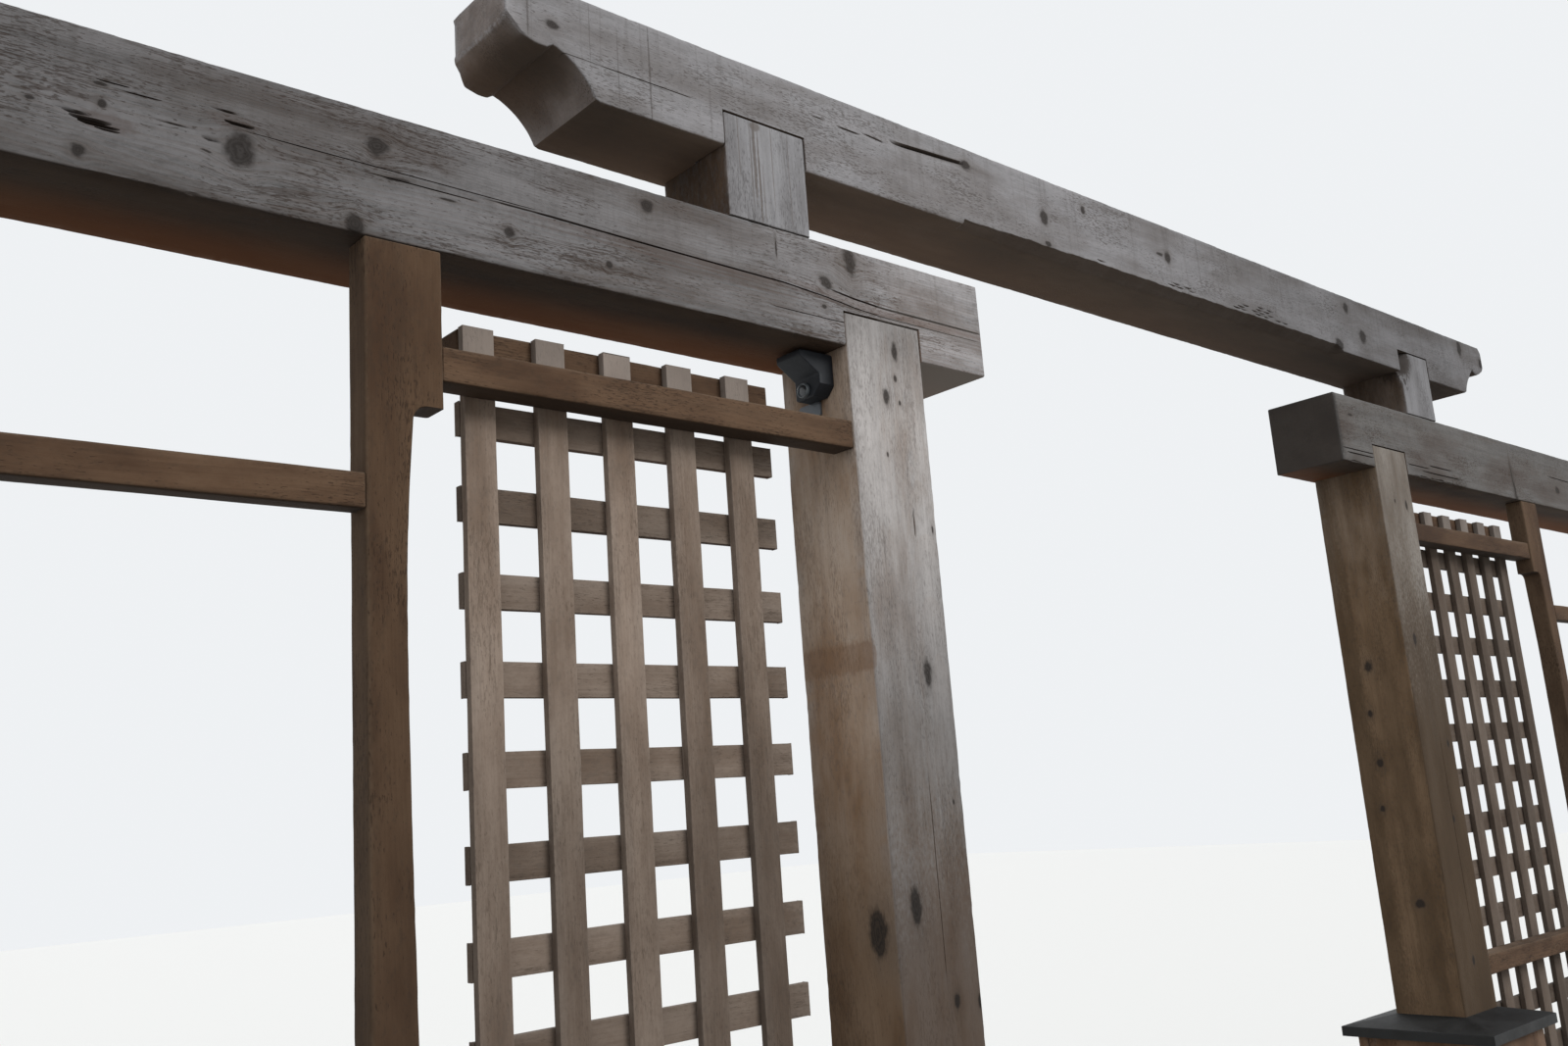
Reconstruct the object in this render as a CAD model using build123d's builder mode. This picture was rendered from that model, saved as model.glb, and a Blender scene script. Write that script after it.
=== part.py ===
"""Cedar fence with an arbour gateway.

Two square posts stand in boxed plinths and carry a beam each. Two short posts on the beams
carry an upper beam with ogee-cut ends across the gateway. On each side the beam runs on over
a lattice panel, a corbelled inner post and an open bay to an outer post.

The frame: X runs along the fence, Y from the front to the back, Z up. The origin is the
middle of the left main post's foot. All sizes are in millimetres.
"""

import os

from build123d import *

os.makedirs("parts", exist_ok=True)

# Posts and the gateway
post_width = 140
post_depth = 132
opening_width = 1320
beam_underside = 2150
arris = 3

# Lower beams
beam_height = 138
beam_depth = 140
beam_overhang = 134

# Upper beam and the short posts under it
upper_gap = 94
upper_beam_height = 126
short_post_width = 134
short_post_offset = 50
ogee_start = 375
cove_length = 57
cove_rise = 53
cove_hollow = 8
quirk_length = 8
quirk_drop = 5
ovolo_length = 53
ovolo_rise = 23
ovolo_belly = 7
end_break_length = 30
end_break_drop = 14

# Wane on the right short post's gateway arris
wane_width = 48
wane_depth = 30
wane_rise = 130

# Housed joints between a post's top and the beam on it
lap_height = 46
lap_depth = 60
lap_gap = 2

# Boxed plinth round a post's foot
plinth_width = 245
plinth_board = 19
plinth_height = 1070
cap_width = 285
cap_fascia = 18
cap_rise = 17

# Inner post between the lattice and the open bay
inner_post_reach = 578
inner_post_width = 84
inner_post_depth = 38
corbel_height = 168
corbel_ledge = 17
cove_radius = 16
waist_depth = 9
waist_drop = 196

# Lattice panel
slat_width = 38
slat_thickness = 11
slat_pitch = 89.3
slat_count = 5
first_slat = 158
slat_top_drop = 57
panel_bottom = 144
course_count = 20
course_tail = 100

# Rails of the lattice panel
rail_size = 38
rail_setback = 3
top_rail_drop = 100
mid_rail_lift = 56

# Rails of the open bay
bay_width = 900
bay_rail_height = 36
bay_rail_depth = 28
bay_top_rail_drop = 242

# Small light on the left main post
light_width = 48
light_height = 56
light_depth = 26
light_setback = 30
light_drop = 4
light_corner = 14
hood_depth = 57
hood_edge = 9
hood_fall = 20
lens_radius = 10
lens_length = 5
lens_back = 18
lens_drop = 45
bracket_width = 40
bracket_height = 20
bracket_thickness = 4
bracket_shift = 27

# Places worked out from the sizes above
front = -post_depth / 2
main_face = -post_width / 2
gateway_middle = Plane.YZ.offset((post_width + opening_width) / 2)
beam_top = beam_underside + beam_height
upper_underside = beam_top + upper_gap
inner_near = main_face - inner_post_reach
inner_far = inner_near - inner_post_width
waist_side = inner_near - corbel_ledge - cove_radius
outer_near = inner_far - bay_width
outer_middle = outer_near - post_width / 2
cap_top = plinth_height + cap_fascia
mid_rail_height = cap_top + cap_rise + mid_rail_lift
plinth_side = (plinth_width - post_width) / 2
rail_front = front + rail_setback
slat_front = rail_front + rail_size
course_front = slat_front + slat_thickness
slat_top = beam_underside - slat_top_drop
top_rail_top = beam_underside - top_rail_drop
last_slat = first_slat + (slat_count - 1) * slat_pitch
course_length = last_slat + slat_width / 2 - course_tail
bottom_rail_top = panel_bottom + slat_top - top_rail_top + rail_size
course_run = top_rail_top - rail_size - slat_width - bottom_rail_top
course_pitch = course_run / (course_count - 1)
front_plane = Plane.XZ.offset(-front)


def save(piece, name):
    """Label a finished piece and write it under its own name."""
    piece.part.label = name
    export_step(piece.part, f"parts/{name}.step")


def save_pair(piece, name):
    """Write a piece of the left wing and its mirror image on the right."""
    save(piece, f"left_{name}")
    with BuildPart() as twin:
        mirror(piece.part, about=gateway_middle)
    save(twin, f"right_{name}")


def bar(x_low, x_high, y_low, y_high, z_low, z_high):
    """Add a straight squared bar between its two corners to the piece being built."""
    middle = ((x_low + x_high) / 2, (y_low + y_high) / 2)
    with BuildSketch(Plane.XY.offset(z_low)) as section:
        with Locations(middle):
            Rectangle(x_high - x_low, y_high - y_low)
    extrude(section.sketch, amount=z_high - z_low)


def housed_post(x_middle, width, foot, shoulder):
    """A post whose front half rises past its shoulder into the beam's front face."""
    with BuildPart() as post:
        bar(x_middle - width / 2, x_middle + width / 2, front, -front, foot, shoulder)
        chamfer(post.edges().filter_by(Axis.Z), arris)
        bar(x_middle - width / 2, x_middle + width / 2, front, front + lap_depth,
            shoulder, shoulder + lap_height)
    return post


def cut_lap(x_middle, width, underside):
    """Cut the housing for a post's lap out of the beam being built."""
    with BuildSketch(Plane.XY.offset(underside)) as housing:
        with Locations((x_middle, front + (lap_depth + lap_gap) / 2)):
            Rectangle(width + 2 * lap_gap, lap_depth + lap_gap)
    extrude(housing.sketch, amount=lap_height + lap_gap, mode=Mode.SUBTRACT)


def plinth_box(x_middle):
    """Four boards round a post's foot, as one open-ended square box."""
    with BuildPart() as box:
        with BuildSketch():
            with Locations((x_middle, 0)):
                Rectangle(plinth_width, plinth_width)
                Rectangle(plinth_width - 2 * plinth_board, plinth_width - 2 * plinth_board,
                          mode=Mode.SUBTRACT)
        extrude(amount=plinth_height)
    return box


def plinth_cap(x_middle):
    """A low hipped cap over the plinth, with the post standing through it."""
    with BuildPart() as cap:
        with BuildSketch(Plane.XY.offset(plinth_height)):
            with Locations((x_middle, 0)):
                Rectangle(cap_width, cap_width)
        extrude(amount=cap_fascia)
        with BuildSketch(Plane.XY.offset(cap_top)):
            with Locations((x_middle, 0)):
                Rectangle(cap_width, cap_width)
        with BuildSketch(Plane.XY.offset(cap_top + cap_rise)):
            with Locations((x_middle, 0)):
                Rectangle(post_width, post_depth)
        loft()
        with BuildSketch(Plane.XY.offset(plinth_height)):
            with Locations((x_middle, 0)):
                Rectangle(post_width, post_depth)
        extrude(amount=cap_fascia + cap_rise, mode=Mode.SUBTRACT)
    return cap


# Posts with their plinths: the main posts flank the gateway, the outer posts end the fence.
save_pair(housed_post(0, post_width, 0, beam_underside), "main_post")
save_pair(plinth_box(0), "plinth_box")
save_pair(plinth_cap(0), "plinth_cap")
save_pair(housed_post(outer_middle, post_width, 0, beam_underside), "outer_post")
save_pair(plinth_box(outer_middle), "outer_plinth_box")
save_pair(plinth_cap(outer_middle), "outer_plinth_cap")

# Lower beam: from past the outer post to its square-cut end over the gateway.
with BuildPart() as lower_beam:
    beam_outer_end = outer_near - post_width - beam_overhang
    beam_inner_end = -main_face + beam_overhang
    bar(beam_outer_end, beam_inner_end, front, front + beam_depth, beam_underside, beam_top)
    chamfer(lower_beam.edges().filter_by(Axis.X), arris)
    cut_lap(0, post_width, beam_underside)
    cut_lap(outer_middle, post_width, beam_underside)
save_pair(lower_beam, "beam")

# Short posts: each stands on a lower beam, outside the main post under it. The right one's
# gateway arris is waney: the sawn corner runs out into the log's round towards the top.
short_middle = main_face - short_post_offset - short_post_width / 2
short_post = housed_post(short_middle, short_post_width, beam_top, upper_underside)
save(short_post, "left_short_post")

with BuildPart() as waney_post:
    mirror(short_post.part, about=gateway_middle)
    wane_corner = 2 * gateway_middle.origin.X - short_middle - short_post_width / 2
    across_front = Vector(wane_width, 0, wane_rise)
    across_side = Vector(0, wane_depth, wane_rise)
    wane = Plane(origin=(wane_corner, front, beam_top), x_dir=across_front,
                 z_dir=across_front.cross(across_side))
    split(bisect_by=wane, keep=Keep.BOTTOM)
save(waney_post, "right_short_post")

# Upper beam: each end is cut underneath with a cove, a small quirk and an ovolo. The right
# end's top corner is broken off.
with BuildPart() as upper_beam:
    upper_top = upper_underside + upper_beam_height
    cove_foot = main_face - ogee_start
    cusp = (cove_foot - cove_length, upper_underside + cove_rise)
    quirk = (cusp[0] - quirk_length, cusp[1] - quirk_drop)
    tip = (quirk[0] - ovolo_length, quirk[1] + ovolo_rise)
    cove_middle = ((cove_foot + cusp[0]) / 2 + cove_hollow / 2,
                   (upper_underside + cusp[1]) / 2 + cove_hollow)
    ovolo_middle = ((quirk[0] + tip[0]) / 2 - ovolo_belly / 2,
                    (quirk[1] + tip[1]) / 2 - ovolo_belly)
    middle_x = gateway_middle.origin.X
    with BuildSketch(front_plane):
        with BuildLine():
            Line((middle_x, upper_underside), (cove_foot, upper_underside))
            ThreePointArc((cove_foot, upper_underside), cove_middle, cusp)
            Line(cusp, quirk)
            ThreePointArc(quirk, ovolo_middle, tip)
            Polyline(tip, (tip[0], upper_top), (middle_x, upper_top), (middle_x, upper_underside))
        make_face()
    extrude(amount=-beam_depth)
    mirror(about=gateway_middle)
    long_edges = upper_beam.edges().filter_by(Axis.X).group_by(Axis.Z)[-1]
    chamfer(long_edges, arris)
    broken_end = 2 * middle_x - tip[0]
    with BuildSketch(front_plane):
        with BuildLine():
            Polyline((broken_end - end_break_length, upper_top), (broken_end, upper_top),
                     (broken_end, upper_top - end_break_drop), close=True)
        make_face()
    extrude(amount=-beam_depth, mode=Mode.SUBTRACT)
    cut_lap(short_middle, short_post_width, upper_underside)
    cut_lap(2 * middle_x - short_middle, short_post_width, upper_underside)
save(upper_beam, "upper_beam")

# Inner post: one board on edge, wide at the top as a corbel, coved in to a slim bowed shaft.
with BuildPart() as inner_post:
    corbel_foot = beam_underside - corbel_height
    ledge = inner_near - corbel_ledge
    waist_top = corbel_foot - cove_radius
    mid_rail_top = mid_rail_height + rail_size
    with BuildSketch(front_plane):
        with BuildLine():
            Polyline((ledge, corbel_foot), (inner_near, corbel_foot),
                     (inner_near, beam_underside), (inner_far, beam_underside),
                     (inner_far, 0), (waist_side, 0), (waist_side, mid_rail_top))
            Spline((waist_side, mid_rail_top), (waist_side - waist_depth, waist_top - waist_drop),
                   (waist_side, waist_top))
            RadiusArc((waist_side, waist_top), (ledge, corbel_foot), cove_radius)
        make_face()
    extrude(amount=-inner_post_depth)
save_pair(inner_post, "inner_post")

# Lattice: upright slats in front, level slats behind them, nailed where they cross.
with BuildPart() as lattice:
    for index in range(slat_count):
        middle = main_face - first_slat - index * slat_pitch
        bar(middle - slat_width / 2, middle + slat_width / 2, slat_front, course_front,
            panel_bottom, slat_top)
    for index in range(course_count):
        top = top_rail_top - rail_size - index * course_pitch
        bar(main_face - course_tail - course_length, main_face - course_tail,
            course_front, course_front + slat_thickness, top - slat_width, top)
save_pair(lattice, "lattice")

# Rails in front of the lattice, let in between the posts.
with BuildPart() as top_rail:
    bar(inner_near, main_face, rail_front, slat_front, top_rail_top - rail_size, top_rail_top)
save_pair(top_rail, "top_rail")

with BuildPart() as mid_rail:
    bar(waist_side, main_face, rail_front, slat_front, mid_rail_height, mid_rail_top)
save_pair(mid_rail, "mid_rail")

with BuildPart() as bottom_rail:
    bar(waist_side, main_face - plinth_side, rail_front, slat_front,
        bottom_rail_top - rail_size, bottom_rail_top)
save_pair(bottom_rail, "bottom_rail")

# Rails behind the lattice, which clamp the tops and the feet of the upright slats.
with BuildPart() as back_top_rail:
    bar(main_face - course_tail - course_length, main_face - course_tail,
        course_front, course_front + rail_size, slat_top - rail_size, slat_top)
save_pair(back_top_rail, "back_top_rail")

with BuildPart() as back_bottom_rail:
    bar(main_face - course_tail - course_length, main_face - course_tail,
        course_front, course_front + rail_size, panel_bottom, panel_bottom + rail_size)
save_pair(back_bottom_rail, "back_bottom_rail")

# Rails of the open bay, between the inner post and the outer post.
bay_rail_heights = {
    "bay_top_rail": beam_underside - bay_top_rail_drop - bay_rail_height,
    "bay_mid_rail": mid_rail_height,
}
for rail_name, rail_bottom in bay_rail_heights.items():
    with BuildPart() as bay_rail:
        bar(outer_near, inner_far, front, front + bay_rail_depth,
            rail_bottom, rail_bottom + bay_rail_height)
    save_pair(bay_rail, rail_name)

with BuildPart() as bay_bottom_rail:
    bar(outer_near + plinth_side, inner_far, front, front + bay_rail_depth,
        bottom_rail_top - bay_rail_height, bottom_rail_top)
save_pair(bay_bottom_rail, "bay_bottom_rail")

# Small light: a housing whose hood juts out over its lens, and the bracket that screws it to
# the post's outer side.
light_top = beam_underside - light_drop
light_bottom = light_top - light_height
light_front = front + light_setback
bracket_front = light_front + bracket_shift
with BuildPart() as light_housing:
    light_face = main_face - light_depth
    hood_face = main_face - hood_depth
    hood_foot = light_top - hood_edge
    with BuildSketch(Plane.XZ.offset(-light_front)):
        with BuildLine():
            Polyline((main_face, light_bottom), (main_face, light_top), (hood_face, light_top),
                     (hood_face, hood_foot), (light_face, hood_foot - hood_fall),
                     (light_face, light_bottom), close=True)
        make_face()
    extrude(amount=-light_width)
    near_corner = light_housing.edges().filter_by(Axis.X).group_by(Axis.Z)[0].sort_by(Axis.Y)[0]
    chamfer(near_corner, light_corner)
save(light_housing, "light_housing")

with BuildPart() as light_lens:
    with BuildSketch(Plane.YZ.offset(light_face)):
        with Locations((light_front + light_width - lens_back, light_top - lens_drop)):
            Circle(lens_radius)
    extrude(amount=-lens_length)
save(light_lens, "light_lens")

with BuildPart() as light_bracket:
    bar(main_face - bracket_thickness, main_face, bracket_front, bracket_front + bracket_width,
        light_bottom - bracket_height, light_bottom)
save(light_bracket, "light_bracket")
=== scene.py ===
import math

import bpy
import numpy as np
from mathutils import Matrix, Vector


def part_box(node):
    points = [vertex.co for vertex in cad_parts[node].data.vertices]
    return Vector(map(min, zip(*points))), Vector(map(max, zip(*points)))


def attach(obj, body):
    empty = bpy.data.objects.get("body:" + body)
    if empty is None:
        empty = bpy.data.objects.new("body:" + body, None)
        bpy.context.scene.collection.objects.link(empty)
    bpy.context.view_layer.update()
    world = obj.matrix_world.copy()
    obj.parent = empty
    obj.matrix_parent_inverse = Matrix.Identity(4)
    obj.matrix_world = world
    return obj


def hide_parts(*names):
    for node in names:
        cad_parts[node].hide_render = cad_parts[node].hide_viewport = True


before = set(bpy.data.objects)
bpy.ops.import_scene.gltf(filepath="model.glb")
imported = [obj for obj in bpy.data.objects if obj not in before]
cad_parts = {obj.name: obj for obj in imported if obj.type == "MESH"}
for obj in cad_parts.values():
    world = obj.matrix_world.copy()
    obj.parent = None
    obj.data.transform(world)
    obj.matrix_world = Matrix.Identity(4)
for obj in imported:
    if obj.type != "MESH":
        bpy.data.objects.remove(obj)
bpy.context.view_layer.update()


# Posts: two dressed cedar posts flank the gateway, and two of the same section end the fence.
# Each is one squared stick that stands in its plinth; above its shoulder only the front half
# rises, as a tongue that is let into the beam's face.

SIDES = ("left", "right")
ARRIS = 0.003
WEAR_START = 0.35
TONGUE_DEPTH = 0.060
SHARP_ANGLE = 40


def section_ring(front_shares, side_shares=np.linspace(0, 1, 8)):
    """The places round a squared section, clockwise from the foot of its front face.

    Each row holds a share of the clear section in depth and across, and an outward
    direction in depth and across. The place itself is low + arris + share * clear size +
    arris * direction: a direction is square to a flat, and on an arris it turns through a
    quarter circle."""
    turn = np.linspace(0, np.pi / 2, 5)[1:-1]
    c, s = np.cos(turn), np.sin(turn)

    def places(depth, across, out_depth, out_across):
        return np.stack(np.broadcast_arrays(depth, across, out_depth, out_across), axis=-1)

    front = np.asarray(front_shares, float)
    side = np.asarray(side_shares, float)
    back = np.linspace(1, 0, 10)
    return np.concatenate([
        places(0, front, -1, 0), places(0, 1, -c, s), places(side, 1, 0, 1), places(1, 1, s, c),
        places(1, back, 1, 0), places(1, 0, c, -s), places(side[::-1], 0, 0, -1),
        places(0, 0, -s, -c)])


def stick_path(low, high, step, extra=(), arris=ARRIS):
    """Stations along a stick: place, inset and shrink.

    Both ends close with rings that grow from the middle of the end grain (shrink 0 to 1),
    and turn over the end's arris: at angle t the inset is arris * (1 - sin t), and the
    place is arris * (1 - cos t) from the end."""
    turn = np.linspace(0, np.pi / 2, 4)
    shrink = np.concatenate([[0, 0.3, 0.6, 0.85], np.ones(4)])
    inset = np.concatenate([np.full(4, arris), arris * (1 - np.sin(turn))])
    place = np.concatenate([np.zeros(4), arris * (1 - np.cos(turn))])
    count = max(int((high - low) / step), 2)
    body = np.linspace(low + arris, high - arris, count + 1)[1:-1]
    body = np.unique(np.concatenate([body, np.asarray(extra, float)]))
    ones = np.ones_like(body)
    return (np.concatenate([low + place, body, high - place[::-1]]),
            np.concatenate([inset, 0 * ones, inset[::-1]]),
            np.concatenate([shrink, ones, shrink[::-1]]))


def ripple(seed, place, lengths):
    """An irregular 0 to 1 along a stick.

    It is the mean over the lengths of (1 + sin(2 pi place / length + phase)) / 2."""
    draw = np.random.default_rng(seed)
    waves = [np.sin(2 * np.pi * place / length + draw.uniform(0, 2 * np.pi)) for length in lengths]
    return (1 + np.mean(waves, axis=0)) / 2


def unevenness(seed, place, ring, depth, worn):
    """How far an old dressed face lies under its true plane.

    Faces sink by a mean of slow waves, (1 + sin(length wave + round wave + phase)) / 2, where
    the round wave closes on itself after whole turns. Arrises are worn in short lengths: the
    ripple past a threshold, squared."""
    draw = np.random.default_rng(seed)
    turn = np.arange(len(ring)) / len(ring) * 2 * np.pi
    total = np.zeros((len(place), len(ring)))
    for length in (1.3, 0.7, 0.31, 0.17):
        phase, lean = draw.uniform(0, 2 * np.pi), draw.integers(1, 4)
        wave = place[:, None] * 2 * np.pi / length + turn[None, :] * lean + phase
        total += (1 + np.sin(wave)) / 2
    arris = np.abs(ring[:, 2] * ring[:, 3]) > 0.01
    corner = (ring[:, 2] > 0) * 2 + (ring[:, 3] > 0)
    for index in range(4):
        wear = ripple(seed + index, place, (0.41, 0.17, 0.083, 0.037, 0.019))
        chosen = arris & (corner == index)
        total[:, chosen] += worn * (np.clip(wear - WEAR_START, 0, 1) ** 2)[:, None]
    return depth * total / 4


def stick_points(path, ring, limits, axes, sink=0, slide=0, seed=1, waves=0.0006, worn=24,
                 arris=ARRIS):
    """Points of a stick on the grid (station, place round the section).

    The section of each station lies between the limits (depth low and high, across low
    and high), is pulled in by the inset, shrinks about its middle at the ends, and sinks
    along its outward direction by the unevenness and by what sink adds. Slide moves points
    across, along their own face."""
    place, inset, shrink = path
    low_d, high_d, low_a, high_a = [np.broadcast_to(v, place.shape)[:, None] for v in limits]
    share_d, share_a, out_d, out_a = ring.T
    reach = arris - inset[:, None]
    full = (shrink * (inset == 0))[:, None]
    down = (sink + unevenness(seed, place, ring, waves, worn)) * full
    depth = low_d + arris + share_d * (high_d - low_d - 2 * arris) + out_d * (reach - down)
    across = low_a + arris + share_a * (high_a - low_a - 2 * arris) + out_a * (reach - down)
    mid_d, mid_a = (low_d + high_d) / 2, (low_a + high_a) / 2
    points = np.empty((*depth.shape, 3))
    points[..., axes[0]] = mid_d + (depth - mid_d) * shrink[:, None]
    points[..., axes[1]] = mid_a + (across - mid_a) * shrink[:, None] + slide
    points[..., axes[2]] = place[:, None]
    return points


def closed_faces(stations, places):
    """Faces of a closed tube of stations by places whose two end stations are single points."""
    t, u = np.meshgrid(np.arange(1, stations - 2), np.arange(places), indexing="ij")
    after = (u + 1) % places
    first = (t - 1) * places + 1
    quads = np.stack([first + u, first + after, first + places + after, first + places + u], -1)
    around = np.arange(places)
    onward = (around + 1) % places
    last = (stations - 3) * places + 1
    tip = (stations - 2) * places + 1
    start = np.stack([np.zeros_like(around), onward + 1, around + 1], -1)
    end = np.stack([np.full_like(around, tip), last + around, last + onward], -1)
    return quads.reshape(-1, 4), np.concatenate([start, end])


def face_outwards(flat, quads, triangles):
    """The faces as they are, or all of them turned round if they point inwards.

    They point outwards where the sum of a . (b x c) is positive, with a, b and c the ways
    from the middle of all points to three corners of each quad."""
    a, b, c = [flat[quads[:, index]] - flat.mean(axis=0) for index in range(3)]
    if np.einsum("ij,ij->i", a, np.cross(b, c)).sum() > 0:
        return quads, triangles
    return quads[:, ::-1], triangles[:, ::-1]


def stick_mesh(points, limits, axes, marks=0, drift=(0, 0, 0), slide=0, tone=0):
    """One stick as arrays: vertices, faces that point outwards, and its point attributes.

    The attribute grain is the place along, across and deep in the stick, plus a drift that
    gives each stick of a batch its own figure; check marks the floor of drying checks, for their
    painted shade; rim is the distance to the nearest arris; tone makes the stick, or each place
    on it, lighter or darker by so many steps, partly as painted light and shade."""
    stations, places = points.shape[:2]

    def ends_single(grid):
        return np.concatenate([grid[0, :1], grid[1:-1].reshape(-1, *grid.shape[2:]), grid[-1, :1]])

    flat = ends_single(points)
    quads, triangles = face_outwards(flat, *closed_faces(stations, places))
    figure = points[..., [axes[2], axes[1], axes[0]]] + np.asarray(drift)
    figure[..., 1] -= slide
    check = np.broadcast_to(marks, points.shape[:2])
    along = points[..., axes[2]]
    low_d, high_d, low_a, high_a = [np.broadcast_to(v, stations)[:, None] for v in limits]
    deep = np.minimum(points[..., axes[0]] - low_d, high_d - points[..., axes[0]])
    wide = np.minimum(points[..., axes[1]] - low_a, high_a - points[..., axes[1]])
    end = np.minimum(along - along.min(), along.max() - along)
    rim = np.sort(np.stack([deep, wide, end]), axis=0)[1]
    return flat, quads, triangles, {"grain": ends_single(figure), "check": ends_single(check),
                                    "rim": ends_single(rim),
                                    "tone": ends_single(np.broadcast_to(tone, (stations, places)))}


def put(name, data):
    """Put a mesh, a lamp or a camera into the scene as an object."""
    made = bpy.data.objects.new(name, data)
    bpy.context.scene.collection.objects.link(made)
    return made


def make_piece(name, sticks, material, slot, *nodes):
    """One object of one or several sticks, which stands for its CAD nodes."""
    vertices, faces, start = [], [], 0
    for flat, quads, triangles, _ in sticks:
        vertices.append(flat)
        faces += (quads + start).tolist() + (triangles + start).tolist()
        start += len(flat)
    mesh = bpy.data.meshes.new(name)
    mesh.from_pydata(np.concatenate(vertices).tolist(), [], faces)
    for key in sticks[0][3]:
        kind, field = ("FLOAT_VECTOR", "vector") if key == "grain" else ("FLOAT", "value")
        values = [np.asarray(stick[3][key], np.float32).ravel() for stick in sticks]
        mesh.attributes.new(key, kind, "POINT").data.foreach_set(field, np.concatenate(values))
    mesh.polygons.foreach_set("use_smooth", np.ones(len(mesh.polygons), bool))
    mesh.set_sharp_from_angle(angle=math.radians(SHARP_ANGLE))
    mesh.materials.append(material)
    piece = put(name, mesh)
    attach(piece, "root")
    if nodes:
        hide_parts(*nodes)
    return piece


def colour(red, green, blue):
    """A screen colour, 0 to 255 a channel, as the linear value that a shader takes."""
    share = np.array([red, green, blue]) / 255
    return (*np.where(share <= 0.04045, share / 12.92, ((share + 0.055) / 1.055) ** 2.4), 1)


def wire(tree, made, wires):
    """Give each input of a node, by name or number, its value or the output that feeds it."""
    for key, value in wires.items():
        if isinstance(value, bpy.types.NodeSocket):
            tree.links.new(value, made.inputs[key])
        else:
            made.inputs[key].default_value = value
    return made


def node(tree, kind, wires=None, **settings):
    """Add a shader node with its settings and inputs."""
    made = tree.nodes.new("ShaderNode" + kind)
    for key, value in settings.items():
        setattr(made, key, value)
    return wire(tree, made, wires or {})


def calc(tree, operation, *values, clamp=False):
    """The output of one Math node over values or outputs."""
    made = node(tree, "Math", dict(enumerate(values)), operation=operation, use_clamp=clamp)
    return made.outputs[0]


def vector(tree, operation, *values):
    """The vector output of one Vector Math node over values or outputs."""
    return node(tree, "VectorMath", dict(enumerate(values)), operation=operation).outputs[0]


def mix(tree, share, first, second):
    """A colour between two, by a share."""
    made = node(tree, "Mix", {0: share, 6: first, 7: second}, data_type="RGBA", clamp_factor=True)
    return made.outputs[2]


def spread(tree, value, low, high):
    """A value's way from low to high as a smooth 0 to 1."""
    return node(tree, "MapRange", {0: value, 1: low, 2: high}, interpolation_type="SMOOTHSTEP",
                clamp=True).outputs[0]


def noise(tree, place, stretch, detail=2.0, rough=0.55):
    """Noise over a place that is stretched first, so that its spots lie along the grain."""
    moved = vector(tree, "MULTIPLY", place, stretch)
    return node(tree, "TexNoise", {"Vector": moved, "Scale": 1.0, "Detail": detail,
                                   "Roughness": rough}).outputs


def new_material(name):
    """A plain material: itself, its tree and its shader."""
    made = bpy.data.materials.new(name)
    made.use_nodes = True
    return made, made.node_tree, made.node_tree.nodes["Principled BSDF"]


def new_group(name, takes, gives):
    """An empty node group: its tree, the outputs it is given and the inputs it hands on."""
    tree = bpy.data.node_groups.new(name, "ShaderNodeTree")
    for socket, kind in takes.items():
        tree.interface.new_socket(socket, in_out="INPUT", socket_type="NodeSocket" + kind)
    for socket, kind in gives.items():
        tree.interface.new_socket(socket, in_out="OUTPUT", socket_type="NodeSocket" + kind)
    return tree, tree.nodes.new("NodeGroupInput").outputs, tree.nodes.new("NodeGroupOutput").inputs


def place_group(tree, group, wires):
    """Put a node group into a tree with its inputs and give its outputs."""
    made = tree.nodes.new("ShaderNodeGroup")
    made.node_tree = group
    return wire(tree, made, wires).outputs


# Cedar figure: growth rings round a wandering pith, which show as rings on the end grain and
# as long flames on the faces, with fine fibres, short dark dashes, streaks and blotches. Fine
# lines of raised grain run where a stretched noise crosses its middle value.
figure, given, told = new_group(
    "cedar_figure", {"Grain": "Vector", "Pith": "Vector", "Ring": "Float"},
    {"Rings": "Float", "Fibre": "Float", "Dashes": "Float", "Lines": "Float",
     "Streaks": "Float", "Blotch": "Float", "Mottle": "Float"})
wander = vector(figure, "SUBTRACT", noise(figure, given["Grain"], (1.3, 4, 4), 2.0)["Color"],
                (0.5, 0.5, 0.5))
wander = vector(figure, "MULTIPLY", wander, (0, 0.05, 0.05))
bent = vector(figure, "ADD", given["Grain"], wander)
from_pith = vector(figure, "SUBTRACT", bent, given["Pith"])
from_pith = vector(figure, "MULTIPLY", from_pith, (0.02, 1, 1))
radius = node(figure, "VectorMath", {0: from_pith}, operation="LENGTH").outputs["Value"]
ring = calc(figure, "FRACT", calc(figure, "DIVIDE", radius, given["Ring"]))
figure.links.new(calc(figure, "POWER", ring, 2.2), told["Rings"])
figure.links.new(noise(figure, given["Grain"], (11, 420, 420), 3.0)["Fac"], told["Fibre"])
patch = noise(figure, given["Grain"], (7, 21, 21), 2.0)["Fac"]
dash = calc(figure, "ADD", noise(figure, given["Grain"], (130, 620, 620), 2.0)["Fac"],
            calc(figure, "MULTIPLY", patch, 0.55))
figure.links.new(spread(figure, dash, 0.88, 0.97), told["Dashes"])
drawn = noise(figure, given["Grain"], (5, 95, 95), 2.0, 0.6)["Fac"]
drawn = calc(figure, "ABSOLUTE", calc(figure, "SUBTRACT", drawn, 0.5))
drawn = calc(figure, "MULTIPLY", spread(figure, drawn, 0.030, 0.006),
             spread(figure, patch, 0.42, 0.62))
figure.links.new(drawn, told["Lines"])
figure.links.new(noise(figure, given["Grain"], (1.5, 48, 48), 3.0)["Fac"], told["Streaks"])
figure.links.new(noise(figure, given["Grain"], (4.5, 13, 13), 4.0, 0.6)["Fac"], told["Blotch"])
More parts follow.
